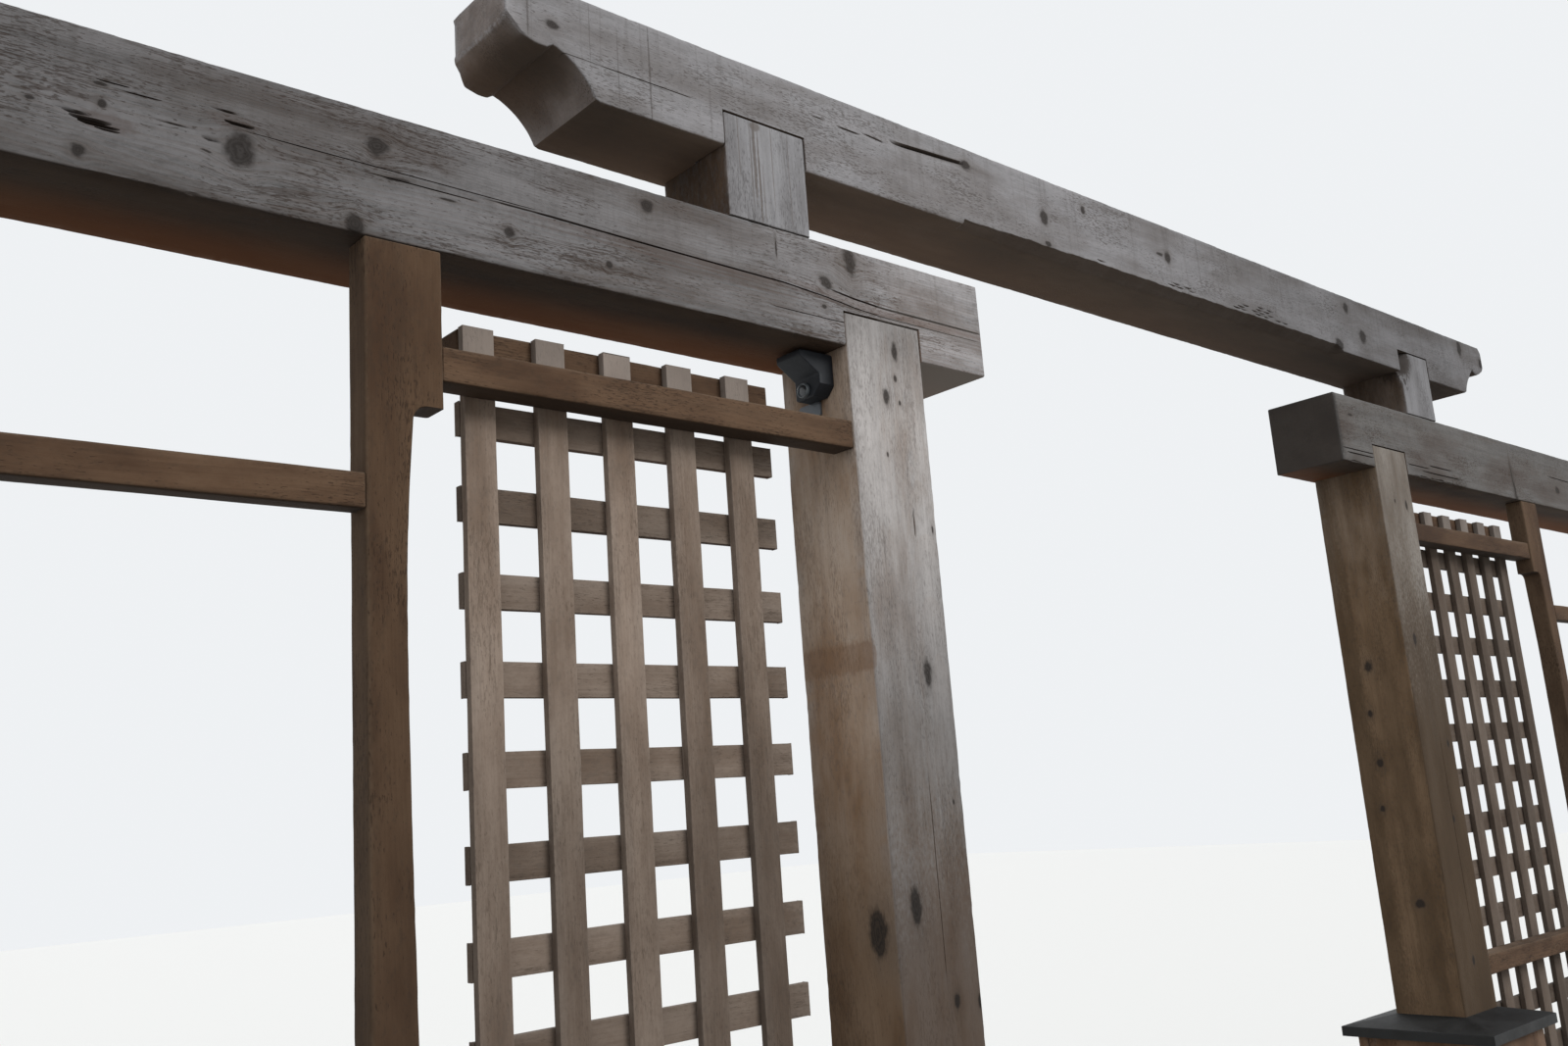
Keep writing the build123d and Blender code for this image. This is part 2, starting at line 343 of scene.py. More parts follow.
figure.links.new(noise(figure, given["Grain"], (90, 190, 190), 4.0, 0.7)["Fac"], told["Mottle"])

# Knot: a dark heart with rings in it and a darker rim, in a soft halo, which the grain flows
# round. Each takes in the bent grain and the knots so far, so that a row of them can follow.
knot, given, told = new_group(
    "cedar_knot", {"Grain": "Vector", "Knots": "Float", "Halo": "Float", "Rough": "Float",
                   "Middle": "Vector", "Size": "Vector"},
    {"Grain": "Vector", "Knots": "Float", "Halo": "Float"})
away = vector(knot, "SUBTRACT", given["Grain"], given["Middle"])
share = node(knot, "VectorMath", {0: vector(knot, "DIVIDE", away, given["Size"])},
             operation="LENGTH").outputs["Value"]
share = calc(knot, "ADD", share, given["Rough"])
heart = spread(knot, share, 1.40, 0.60)
rim = calc(knot, "POWER", calc(knot, "MULTIPLY", calc(knot, "SUBTRACT", share, 0.86), 4.5), 2.0)
rim = calc(knot, "EXPONENT", calc(knot, "MULTIPLY", rim, -1.0))
inner = calc(knot, "COSINE", calc(knot, "MULTIPLY", share, 16.0))
dark = calc(knot, "ADD", calc(knot, "MULTIPLY", inner, 0.08), calc(knot, "MULTIPLY", rim, 0.10))
dark = calc(knot, "MULTIPLY", calc(knot, "ADD", dark, 0.90, clamp=True), heart)
knot.links.new(calc(knot, "MAXIMUM", given["Knots"], dark), told["Knots"])
squared = calc(knot, "POWER", share, 2.0)
soft = calc(knot, "EXPONENT", calc(knot, "MULTIPLY", squared, -0.30))
knot.links.new(calc(knot, "MAXIMUM", given["Halo"], soft), told["Halo"])
push = calc(knot, "MULTIPLY", soft, 0.8)
scaled = node(knot, "VectorMath", {0: vector(knot, "MULTIPLY", away, (0, 1, 1)), "Scale": push},
              operation="SCALE").outputs[0]
knot.links.new(vector(knot, "SUBTRACT", given["Grain"], scaled), told["Grain"])

# Stain: a soft-edged patch about a place. Each takes in the stains so far.
stain, given, told = new_group(
    "stain", {"Place": "Vector", "Stains": "Float", "Rough": "Float", "Middle": "Vector",
              "Size": "Vector", "Strength": "Float"}, {"Stains": "Float"})
away = vector(stain, "SUBTRACT", given["Place"], given["Middle"])
share = node(stain, "VectorMath", {0: vector(stain, "DIVIDE", away, given["Size"])},
             operation="LENGTH").outputs["Value"]
share = calc(stain, "ADD", share, given["Rough"])
mask = calc(stain, "MULTIPLY", spread(stain, share, 1.3, 0.8), given["Strength"])
stain.links.new(calc(stain, "MAXIMUM", given["Stains"], mask), told["Stains"])

# Drips: thin upright lines of dirty water, with broad soft ones among them, that start at a
# height and run out below it. A thin line is where a slow noise crosses its middle value.
drips, given, told = new_group(
    "drips", {"Place": "Vector", "Top": "Float", "Reach": "Float"}, {"Drips": "Float"})
height = node(drips, "SeparateXYZ", {0: given["Place"]}).outputs["Z"]
fallen = calc(drips, "DIVIDE", calc(drips, "SUBTRACT", given["Top"], height), given["Reach"])
run = calc(drips, "POWER", calc(drips, "SUBTRACT", 1.0, fallen, clamp=True), 0.7)
slow = noise(drips, given["Place"], (26, 26, 1.1), 1.0)["Fac"]
thread = spread(drips, calc(drips, "ABSOLUTE", calc(drips, "SUBTRACT", slow, 0.5)), 0.020, 0.004)
broad = spread(drips, noise(drips, given["Place"], (95, 95, 2.5), 2.0)["Fac"], 0.52, 0.75)
both = calc(drips, "ADD", calc(drips, "MULTIPLY", thread, 0.55),
            calc(drips, "MULTIPLY", broad, 0.6))
drips.links.new(calc(drips, "MULTIPLY", both, run), told["Drips"])

# Exposure: how far rain and sun have greyed a face, by the way that it looks, and how that
# fades between two heights; under is how far a face looks down, and deep goes from 0 at the
# front arris to 1 at the back, for the underside's painted shade, darkest by the front arris.
exposure, given, told = new_group(
    "exposure", {"Normal": "Vector", "Place": "Vector", "Plus faces": "Vector",
                 "Minus faces": "Vector", "Blotch": "Float", "Whole": "Float", "Faded": "Float",
                 "Loss": "Float"}, {"Grey": "Float", "Under": "Float", "Deep": "Float"})
plus = node(exposure, "VectorMath", {0: vector(exposure, "MAXIMUM", given["Normal"], (0, 0, 0)),
                                     1: given["Plus faces"]}, operation="DOT_PRODUCT")
opposite = vector(exposure, "MULTIPLY", given["Normal"], (-1, -1, -1))
downward = vector(exposure, "MAXIMUM", opposite, (0, 0, 0))
minus = node(exposure, "VectorMath", {0: downward, 1: given["Minus faces"]},
             operation="DOT_PRODUCT")
both = calc(exposure, "ADD", plus.outputs["Value"], minus.outputs["Value"])
patchy = calc(exposure, "MULTIPLY", calc(exposure, "SUBTRACT", given["Blotch"], 0.5), 1.1)
spot = node(exposure, "SeparateXYZ", {0: given["Place"]}).outputs
lost = node(exposure, "MapRange", {0: spot["Z"], 1: given["Whole"], 2: given["Faded"]},
            interpolation_type="SMOOTHSTEP", clamp=True).outputs[0]
lost = calc(exposure, "MULTIPLY", lost, given["Loss"])
both = calc(exposure, "SUBTRACT", calc(exposure, "ADD", both, patchy), lost, clamp=True)
exposure.links.new(both, told["Grey"])
down = node(exposure, "SeparateXYZ", {0: downward}).outputs["Z"]
exposure.links.new(spread(exposure, down, 0.45, 0.97), told["Under"])
exposure.links.new(spread(exposure, spot["Y"], -0.035, 0.060), told["Deep"])

# Cedar: the colours of its marks, which every piece shares.
DRIP_BROWN = (72, 66, 61)
PORE_BROWN = (58, 48, 42)
HALO_BROWN = (80, 70, 62)
HEART_BROWN = (42, 37, 34)
# Drying checks are painted near black, the deeper the darker, as painted shade in the cracks.
CHECK_BLACK = (20, 15, 12)
TONE_STEP = 0.15  # the share by which one step of tone makes the wood lighter


def cedar(name, pith, knots=(), stains=(), ring=0.0028, sun=(0.5, 0.85, 1.0),
          shade=(0.45, 0.95, 0.0), brown=((92, 68, 50), (140, 113, 90)),
          grey=((124, 121, 119), (166, 163, 161)), flames=0.12, bands=0.55, lines=0.2,
          stain_colour=(104, 76, 58), dripping=(0, 1, 0), fading=(1, 0, 0),
          under=((29, 20, 12), (112, 66, 32)), dashes=0.6, rubbed=0.3):
    """Weathered cedar: brown wood that has greyed by exposure, with rings, knots and stains.

    Sun gives the greying of the faces that look to +X, +Y and +Z, and shade of those that
    look to -X, -Y and -Z. A knot is its middle and its size, along, across and deep; a stain
    adds its strength. Dripping is the height where drips start, their reach and strength.
    Fading is the height of whole greying, the height where it has faded, and the loss.
    Flames, bands, lines and dashes are the shares of the rings, the broad streaks, the fine
    raised lines and the short dark pores, and rubbed that of the pale wood on worn arrises.
    Under holds an underside's colours at the front arris and at the back: partly the wood's own
    brown and partly painted shade, darkest by the front arris."""
    made, tree, surface = new_material(name)
    grain = node(tree, "Attribute", attribute_name="grain").outputs["Vector"]
    check = node(tree, "Attribute", attribute_name="check").outputs["Fac"]
    rim = node(tree, "Attribute", attribute_name="rim").outputs["Fac"]
    tone = node(tree, "Attribute", attribute_name="tone").outputs["Fac"]
    looks = node(tree, "TexCoord").outputs
    straight = grain
    rough = calc(tree, "SUBTRACT", noise(tree, grain, (130, 240, 240), 3.0, 0.6)["Fac"], 0.5)
    broad = calc(tree, "SUBTRACT", noise(tree, grain, (45, 80, 80), 1.0)["Fac"], 0.5)
    ragged = calc(tree, "ADD", calc(tree, "MULTIPLY", rough, 0.7),
                  calc(tree, "MULTIPLY", broad, 0.9))
    heart, halo, patches = 0.0, 0.0, 0.0
    for middle, size in knots:
        outputs = place_group(tree, knot, {"Grain": grain, "Knots": heart, "Halo": halo,
                                           "Rough": ragged, "Middle": middle, "Size": size})
        grain, heart, halo = outputs["Grain"], outputs["Knots"], outputs["Halo"]
    for middle, size, strength in stains:
        patches = place_group(tree, stain, {
            "Place": straight, "Stains": patches, "Rough": rough, "Middle": middle, "Size": size,
            "Strength": strength})["Stains"]
    wood = place_group(tree, figure, {"Grain": grain, "Pith": pith, "Ring": ring})
    faces = place_group(tree, exposure, {
        "Normal": looks["Normal"], "Place": looks["Object"], "Plus faces": sun,
        "Minus faces": shade, "Blotch": wood["Blotch"], "Whole": fading[0], "Faded": fading[1],
        "Loss": fading[2]})
    dark_brown, pale_brown = colour(*brown[0]), colour(*brown[1])
    dark_grey, pale_grey = colour(*grey[0]), colour(*grey[1])
    inner = mix(tree, spread(tree, wood["Blotch"], 0.34, 0.66), dark_brown, pale_brown)
    inner = mix(tree, calc(tree, "MULTIPLY", wood["Rings"], 2.2 * flames), inner, dark_brown)
    inner = mix(tree, calc(tree, "MULTIPLY", spread(tree, wood["Streaks"], 0.5, 0.7), 0.35),
                inner, colour(*(0.85 * np.array(brown[0]))))
    cloud = calc(tree, "ADD", calc(tree, "MULTIPLY", wood["Blotch"], 0.9),
                 calc(tree, "MULTIPLY", wood["Mottle"], 0.7))
    cloud = calc(tree, "ADD", cloud, calc(tree, "MULTIPLY", wood["Fibre"], 0.35))
    centred = calc(tree, "SUBTRACT", wood["Streaks"], 0.5)
    cloud = calc(tree, "ADD", cloud, calc(tree, "MULTIPLY", centred, bands))
    outer = mix(tree, spread(tree, cloud, 0.68, 1.28), dark_grey, pale_grey)
    outer = mix(tree, calc(tree, "MULTIPLY", wood["Rings"], flames), outer, dark_brown)
    base = mix(tree, faces["Grey"], inner, outer)
    worn = calc(tree, "ADD", rim, calc(tree, "MULTIPLY", rough, 0.012))
    worn = calc(tree, "MULTIPLY", spread(tree, worn, 0.0035, 0.0), rubbed)
    base = mix(tree, worn, base, pale_grey)
    grime = calc(tree, "ADD", wood["Mottle"], calc(tree, "MULTIPLY", wood["Blotch"], -0.5))
    grime = calc(tree, "MULTIPLY", spread(tree, grime, 0.27, 0.42), 0.28)
    base = mix(tree, grime, base, colour(*(0.62 * np.array(grey[0]))))
    pore = colour(*np.minimum(PORE_BROWN, 0.6 * np.array(brown[0])))
    base = mix(tree, calc(tree, "MULTIPLY", wood["Lines"], lines), base, pore)
    base = mix(tree, calc(tree, "MULTIPLY", wood["Dashes"], dashes), base, pore)
    if dripping[2]:
        running = place_group(tree, drips, {"Place": looks["Object"], "Top": dripping[0],
                                            "Reach": dripping[1]})["Drips"]
        base = mix(tree, calc(tree, "MULTIPLY", running, dripping[2]), base, colour(*DRIP_BROWN))
    if stains:
        base = mix(tree, patches, base, colour(*stain_colour))
    if knots:
        base = mix(tree, calc(tree, "MULTIPLY", halo, 0.38), base, colour(*HALO_BROWN))
        base = mix(tree, calc(tree, "MULTIPLY", heart, 0.95), base, colour(*HEART_BROWN))
    # Undersides take the under colours: brown wood with painted shade in it, darkest by the front
    # arris.
    below = mix(tree, faces["Deep"], colour(*under[0]), colour(*under[1]))
    base = mix(tree, calc(tree, "MULTIPLY", faces["Under"], 0.8), base, below)
    bright = calc(tree, "ADD", 1.0, calc(tree, "MULTIPLY", tone, TONE_STEP))
    base = node(tree, "VectorMath", {0: base, "Scale": bright}, operation="SCALE").outputs[0]
    # Painted shade in the drying checks, darker where they are deeper.
    base = mix(tree, check, base, colour(*CHECK_BLACK))
    lift = calc(tree, "SUBTRACT", calc(tree, "MULTIPLY", wood["Fibre"], 0.7),
                calc(tree, "MULTIPLY", wood["Dashes"], 0.9))
    lift = calc(tree, "SUBTRACT", lift, calc(tree, "MULTIPLY", wood["Rings"], 2 * flames))
    bump = node(tree, "Bump", {"Strength": 0.5, "Distance": 0.0006, "Height": lift})
    wire(tree, surface, {"Base Color": base, "Normal": bump.outputs[0], "Roughness": 0.88,
                         "Specular IOR Level": 0.2})
    return made


def groove_rows(count, low, high, grooves):
    """Shares across a face: even ones, and three close ones for each groove that runs there."""
    clear = high - low - 2 * ARRIS
    rows = [np.linspace(0, 1, count)]
    for place, width in grooves:
        middle = (place - low - ARRIS) / clear
        rows.append(middle + np.array([-1, 0, 1]) * width / 2 / clear)
    return np.unique(np.clip(np.concatenate(rows), 0, 1))


def groove_sink(path, ring, low, high, checks):
    """Depth of drying checks in a front face, and how dark each place is painted as their shade.

    Across a check the depth falls as a tent from its middle row, and along it as the root
    of 1 - x squared, from its middle to both its ends. A check is a place across, its start,
    its end, its width and its depth."""
    place = path[0][:, None]
    across = low + ARRIS + ring[:, 1] * (high - low - 2 * ARRIS)
    front = (ring[:, 2] == -1)
    sink = np.zeros((len(path[0]), len(ring)))
    for index, (middle, start, end, width, depth) in enumerate(checks):
        tent = np.clip(1 - np.abs(across - middle) / (width / 2), 0, 1) * front
        run = (place - (start + end) / 2) / ((end - start) / 2)
        varied = 0.45 + 0.55 * ripple(index, place, (0.11, 0.047, 0.023))
        sink = np.maximum(sink, depth * tent * np.sqrt(np.clip(1 - run ** 2, 0, 1)) * varied)
    deepest = max([check[4] for check in checks], default=1)
    return sink, np.clip(sink / deepest * 2.2, 0, 1)


UPRIGHT = (1, 0, 2)  # the axes of a stick's depth, breadth and length
FRONT = -0.066  # where the front faces lie in depth, with their knots and stains
EDGE = 1e-6  # a section steps between two stations so far before and after a place
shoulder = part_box("left_beam")[0].z

# A check is its place across, its start, end, width and depth. A knot is its middle and its
# size, both along, across and deep, and a stain is the same with its strength.
main_post_checks = {
    "left": [(0.027, 1.903, 1.934, 0.0034, 0.006), (0.010, 1.340, 1.600, 0.0014, 0.003),
             (-0.041, 0.80, 1.26, 0.0014, 0.003)],
    "right": [(1.474, 1.25, 1.62, 0.0016, 0.003)],
}
main_post_knots = {
    "left": [((2.157, 0.018, FRONT), (0.013, 0.0052, 0.012)),
             ((2.118, 0.0155, FRONT), (0.005, 0.0026, 0.006)),
             ((2.091, -0.005, FRONT), (0.010, 0.0062, 0.012)),
             ((2.085, 0.020, FRONT), (0.003, 0.0022, 0.006)),
             ((1.441, -0.033, FRONT), (0.021, 0.0085, 0.015)),
             ((1.410, -0.070, -0.034), (0.028, 0.014, 0.015)),
             ((1.724, 0.026, FRONT), (0.015, 0.0065, 0.01)),
             ((1.321, 0.025, FRONT), (0.009, 0.005, 0.01)),
             ((1.315, 0.067, FRONT), (0.009, 0.004, 0.01)),
             ((1.915, 0.061, FRONT), (0.005, 0.0016, 0.006)),
             ((2.010, -0.012, FRONT), (0.003, 0.0015, 0.006)),
             ((1.560, 0.052, FRONT), (0.003, 0.0015, 0.006))],
    "right": [((2.083, 1.497, FRONT), (0.009, 0.0045, 0.01)),
              ((2.087, 1.449, FRONT), (0.004, 0.003, 0.01)),
              ((1.806, 1.436, FRONT), (0.011, 0.007, 0.01)),
              ((1.602, 1.507, FRONT), (0.007, 0.004, 0.01)),
              ((1.458, 1.477, FRONT), (0.006, 0.004, 0.01)),
              ((1.197, 1.460, FRONT), (0.008, 0.005, 0.01)),
              ((1.761, 1.390, 0.014), (0.011, 0.01, 0.008)),
              ((1.670, 1.390, 0.025), (0.007, 0.01, 0.005)),
              ((1.574, 1.390, 0.021), (0.008, 0.01, 0.006)),
              ((1.486, 1.390, 0.030), (0.006, 0.01, 0.005)),
              ((1.307, 1.390, -0.014), (0.007, 0.01, 0.009))],
}
main_post_stains = {
    "left": [((1.747, -0.072, 0.0), (0.019, 0.008, 0.30), 0.50),
             ((1.600, -0.070, 0.03), (0.11, 0.003, 0.045), 0.18),
             ((1.480, -0.070, -0.02), (0.16, 0.003, 0.05), 0.20),
             ((1.050, -0.070, 0.02), (0.50, 0.003, 0.20), 0.30),
             ((1.060, 0.010, FRONT), (0.42, 0.20, 0.003), 0.45)],
    "right": [((1.62, 1.390, 0.060), (0.70, 0.003, 0.030), 0.45),
              ((1.30, 1.390, -0.020), (0.55, 0.003, 0.022), 0.30),
              ((1.10, 1.470, FRONT), (0.75, 0.20, 0.003), 0.72)],
}
# How light a main post is at some heights, in steps, and what its front face adds to that.
main_post_tone = {"left": ((1.05, 1.40, 1.54, 1.66, 1.80, 2.0),
                           (-3.6, -3.2, -1.7, 0.6, 1.2, 0.9)),
                  "right": ((1.05, 1.60, 2.05), (-1.1, -0.9, 0.0))}
main_front_tone = {"left": ((1.40, 1.54, 1.66, 1.80, 1.90, 2.05, 2.12, 2.18),
                            (-1.1, -1.7, -3.4, -2.0, -0.4, 1.2, 0.0, -2.2)),
                   "right": ((1.34, 1.77, 2.0), (-1.3, -1.7, 0.0))}
# How each main post looks: the right one's darker greys, browns and stains are partly its own
# colour and partly painted shade.
post_looks = {
    "left": {"brown": ((138, 109, 82), (176, 150, 124)),
             "grey": ((134, 130, 128), (172, 168, 166)), "shade": (0.30, 0.95, 0),
             "stain_colour": (116, 88, 66), "fading": (1.75, 1.20, 0.50)},
    "right": {"brown": ((98, 78, 58), (130, 107, 84)),
              "grey": ((112, 105, 98), (148, 142, 135)), "shade": (0.18, 0.95, 0),
              "stain_colour": (74, 59, 43), "fading": (2.05, 1.45, 0.95)},
}
POST_ROWS = 22


def housed_post(side, role, seed, checks=(), knots=(), stains=()):
    """A post whose front half rises past its shoulder, where its back steps in to the tongue."""
    node_name = f"{side}_{role}"
    low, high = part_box(node_name)
    ring = section_ring(groove_rows(POST_ROWS, low.x, high.x, [(c[0], c[3]) for c in checks]))
    path = stick_path(low.z, high.z, step=0.010, extra=[shoulder - EDGE, shoulder + EDGE])
    sink, dark = groove_sink(path, ring, low.x, high.x, checks)
    back = np.where(path[0] > shoulder, low.y + TONGUE_DEPTH, high.y)
    limits = (low.y, back, low.x, high.x)
    points = stick_points(path, ring, limits, UPRIGHT, sink, seed=seed)
    pith = (0, (low.x + high.x) / 2 + 0.05, high.y + 0.03)
    wood = cedar(f"{node_name}_cedar", pith, knots, stains, flames=0.07, bands=0.3, lines=0.16,
                 dripping=(shoulder, 0.7, 0.20), dashes=0.3, rubbed=0.1, **post_looks[side])
    tone = np.interp(path[0], *main_post_tone[side])[:, None]
    tone = tone + np.interp(path[0], *main_front_tone[side])[:, None] * (ring[:, 2] < -0.5)
    make_piece(f"{node_name}_timber", [stick_mesh(points, limits, UPRIGHT, dark, tone=tone)], wood,
               "cedar", node_name)


for seed, side in enumerate(SIDES):
    housed_post(side, "main_post", seed * 10, main_post_checks[side], main_post_knots[side],
                main_post_stains[side])
    housed_post(side, "outer_post", seed * 10 + 5)


# Lower beams: each lies on its posts, housed over their tongues, and runs out over the lattice
# and the open bay. Long drying checks and knots mark its front face, and the right one's lower
# arris is waney near the gateway.

LEVEL = (1, 2, 0)
BEAM_ROWS = 26
HOUSING_HEIGHT = 0.048
HOUSING_DEPTH = 0.062
HOUSING_PLAY = 0.002
SLIDE_FOOT = 0.049
SLIDE_FOOT_FADE = 0.017
SLIDE_TOP = 0.138
SLIDE_TOP_FADE = 0.060


def bearing(post_node):
    """Where a housing starts and ends along a beam, from the post that stands in it."""
    low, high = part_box(post_node)
    return low.x - HOUSING_PLAY, high.x + HOUSING_PLAY


def step_stations(housings):
    """Stations right before and after each place where a housing starts or ends."""
    return [place + nudge for pair in housings for place in pair for nudge in (-EDGE, EDGE)]


def beam_ring(low, high, checks, wane_heights=(), wane_depths=()):
    """A beam's section: even rows, and rows at its checks, at its housings and at its wane."""
    heights = np.append(wane_heights, HOUSING_HEIGHT) - ARRIS
    depths = np.append(wane_depths, HOUSING_DEPTH) - ARRIS
    rows = groove_rows(BEAM_ROWS, low.z, high.z, [(c[0], c[3]) for c in checks])
    rows = np.append(rows, heights / (high.z - low.z - 2 * ARRIS))
    side_rows = np.append(np.linspace(0, 1, 10), depths / (high.y - low.y - 2 * ARRIS))
    return section_ring(np.unique(rows), np.unique(side_rows))


def house(points, path, low_depth, low_across, housings):
    """Cut housings into a beam's lower front edge by folding its section inwards.

    Between the two ends of a housing, the front face's foot becomes the housing's ceiling
    and the underside's front becomes its back wall, so the section turns from a full
    corner into an inner one at the same station."""
    for start, end in housings:
        inside = (path[0] > start) & (path[0] < end)
        depth = points[inside][..., LEVEL[0]]
        across = points[inside][..., LEVEL[1]]
        base = np.broadcast_to(low_across, path[0].shape)[inside][:, None]
        down = np.clip((across - base) / HOUSING_HEIGHT, 0, 1)
        back = np.clip((depth - low_depth) / HOUSING_DEPTH, 0, 1)
        corner = ((across - base < HOUSING_HEIGHT + EDGE)
                  & (depth - low_depth < HOUSING_DEPTH + EDGE))
        front = corner & (down >= back)
        under = corner & (down < back)
        new_depth = np.where(front, low_depth + HOUSING_DEPTH * (1 - down), depth)
        new_depth = np.where(under, low_depth + HOUSING_DEPTH, new_depth)
        new_across = np.where(front, base + HOUSING_HEIGHT, across)
        new_across = np.where(under, base + HOUSING_HEIGHT * (1 - back), new_across)
        changed = points[inside]
        changed[..., LEVEL[0]] = new_depth
        changed[..., LEVEL[1]] = new_across
        points[inside] = changed
    return points


def chip_sink(path, ring, limits, chips):
    """How far the lower front arris is broken away.

    A chip falls off linearly with the distance from the arris up to its reach, and swells
    along its length as a half sine with a ragged ripple on it. A chip is its start, its
    end, its reach and its depth."""
    low_d, high_d, low_a, high_a = limits
    up = ring[:, 1] * (high_a - low_a) + (ring[:, 3] > 0.5)
    inward = ring[:, 0] * (high_d - low_d) + (ring[:, 2] > 0.5)
    distance = np.where(ring[:, 2] < -0.5, up, np.where(ring[:, 3] < -0.5, inward, 1))
    distance = np.where((ring[:, 2] < -0.1) & (ring[:, 3] < -0.1), 0, distance)
    sink = np.zeros((len(path[0]), len(ring)))
    for index, (start, end, reach, depth) in enumerate(chips):
        run = np.clip((path[0] - start) / (end - start), 0, 1)
        ragged = 0.3 + 0.7 * ripple(index, path[0], (0.09, 0.041, 0.017))
        swell = np.sin(np.pi * run) ** 0.5 * ragged
        sink = np.maximum(sink, depth * swell[:, None] * np.clip(1 - distance / reach, 0, 1))
    return sink


beam_checks = {
    "left": [(2.2160, -0.60, 0.20, 0.0022, 0.005), (2.2290, -0.095, 0.206, 0.0024, 0.006),
             (2.2190, -0.86, -0.52, 0.0012, 0.002), (2.2120, -0.74, -0.60, 0.0012, 0.002),
             (2.2015, -1.006, -0.986, 0.0028, 0.005), (2.1985, -1.000, -0.970, 0.0036, 0.008),
             (2.1952, -0.992, -0.963, 0.0030, 0.007), (2.1925, -0.980, -0.962, 0.0020, 0.004),
             (2.2352, -0.876, -0.854, 0.0030, 0.004), (2.2240, -0.868, -0.844, 0.0036, 0.007),
             (2.2060, -0.886, -0.872, 0.0034, 0.004), (2.2320, -0.978, -0.954, 0.0016, 0.003),
             (2.2268, -0.960, -0.925, 0.0016, 0.003), (2.2100, -0.930, -0.895, 0.0014, 0.002),
             (2.1810, -0.20, -0.03, 0.0014, 0.002)],
    "right": [(2.1770, 1.262, 1.392, 0.0022, 0.004), (2.1690, 1.280, 1.388, 0.0026, 0.005),
              (2.1740, 1.540, 1.640, 0.0022, 0.004), (2.1810, 1.640, 1.745, 0.0026, 0.005),
              (2.1660, 1.600, 1.790, 0.0024, 0.004), (2.2300, 2.30, 2.90, 0.0022, 0.005)],
}
beam_knots = {
    "left": [((-0.9925, 2.167, FRONT), (0.0060, 0.0060, 0.01)),
             ((-0.854, 2.207, FRONT), (0.0135, 0.0130, 0.016)),
             ((-0.717, 2.248, FRONT), (0.0115, 0.0110, 0.016)),
             ((-0.7415, 2.158, FRONT), (0.009, 0.010, 0.012)),
             ((-0.567, 2.1906, FRONT), (0.006, 0.0065, 0.01)),
             ((-0.439, 2.1815, FRONT), (0.0045, 0.0045, 0.01)),
             ((-0.382, 2.267, FRONT), (0.009, 0.009, 0.012)),
             ((-0.099, 2.231, FRONT), (0.010, 0.007, 0.012)),
             ((-0.053, 2.268, FRONT), (0.011, 0.015, 0.016)),
             ((-0.105, 2.197, FRONT), (0.004, 0.0035, 0.008)),
             ((-0.1825, 2.261, FRONT), (0.0012, 0.012, 0.006)),
             ((-0.977, 2.235, FRONT), (0.006, 0.0018, 0.008)),
             ((-0.975, 2.219, FRONT), (0.0035, 0.0028, 0.008)),
             ((-1.032, 2.207, FRONT), (0.004, 0.0014, 0.008)),
             ((-0.696, 2.220, FRONT), (0.014, 0.0018, 0.008)),
             ((-0.640, 2.212, FRONT), (0.009, 0.0010, 0.008)),
             ((-0.885, 2.198, FRONT), (0.005, 0.0009, 0.008))],
    "right": [((1.3135, 2.248, FRONT), (0.009, 0.0025, 0.008)),
              ((2.0790, 2.198, FRONT), (0.0024, 0.030, 0.02)),
              ((2.0835, 2.172, FRONT), (0.0045, 0.022, 0.02)),
              ((2.0855, 2.156, FRONT), (0.0075, 0.010, 0.02)),
              ((2.35, 2.20, FRONT), (0.012, 0.010, 0.012)),
              ((2.80, 2.25, FRONT), (0.009, 0.008, 0.012))],
}
beam_stains = {
    "left": [((0.02, 2.2225, FRONT), (0.20, 0.0050, 0.02), 0.30),
             ((-0.30, 2.212, FRONT), (0.26, 0.0030, 0.02), 0.28),
             ((-0.36, 2.206, FRONT), (0.18, 0.0016, 0.02), 0.32),
             ((-0.26, 2.200, FRONT), (0.14, 0.0012, 0.02), 0.30),
             ((-0.97, 2.199, FRONT), (0.024, 0.0070, 0.02), 0.35),
             ((-0.86, 2.226, FRONT), (0.022, 0.0080, 0.02), 0.22)],
    # The right beam's first stain darkens its end grain: the end grain's own colour and painted
    # shade.
    "right": [((1.252, 2.215, 0.004), (0.016, 0.120, 0.12), 0.85),
              ((1.262, 2.180, FRONT), (0.012, 0.040, 0.02), 0.30),
              ((2.0790, 2.190, FRONT), (0.010, 0.050, 0.02), 0.40)],
}
beam_chips = {"left": [(-0.99, -0.90, 0.010, 0.004), (-0.30, -0.22, 0.008, 0.003)],
              "right": [(1.258, 1.386, 0.016, 0.007), (1.534, 1.81, 0.018, 0.008)]}
beam_track = {"left": ((-1.9, -0.90, -0.517, -0.378, -0.173, -0.101, -0.05, 0.0, 0.2),
                       (0.004, 0.008, 0.006, 0.003, 0.0, -0.005, -0.011, -0.014, -0.015)),
              "right": ((1.2, 1.8, 2.6, 3.4), (0.0, 0.004, -0.004, 0.002))}
# How light a beam is at some places, in steps, and what its underside adds near the gateway.
# The left one darkens away from the gateway as painted shade and lightens past the gateway post
# as painted light, and the right one is darker as painted shade.
beam_tone = {"left": ((-1.9, -1.05, -0.55, -0.13, -0.05, 0.0, 0.07),
                      (-2.4, -2.2, -1.2, 0.3, 1.8, 2.8, 4.6)),
             "right": ((1.25, 3.36), (-0.4, -0.6))}
stub_shadow = {"left": ((-0.05, 0.0), (0.0, -0.6)), "right": ((1.36, 1.40), (-2.4, 0.0))}
beam_step = {"left": 0.007, "right": 0.010}
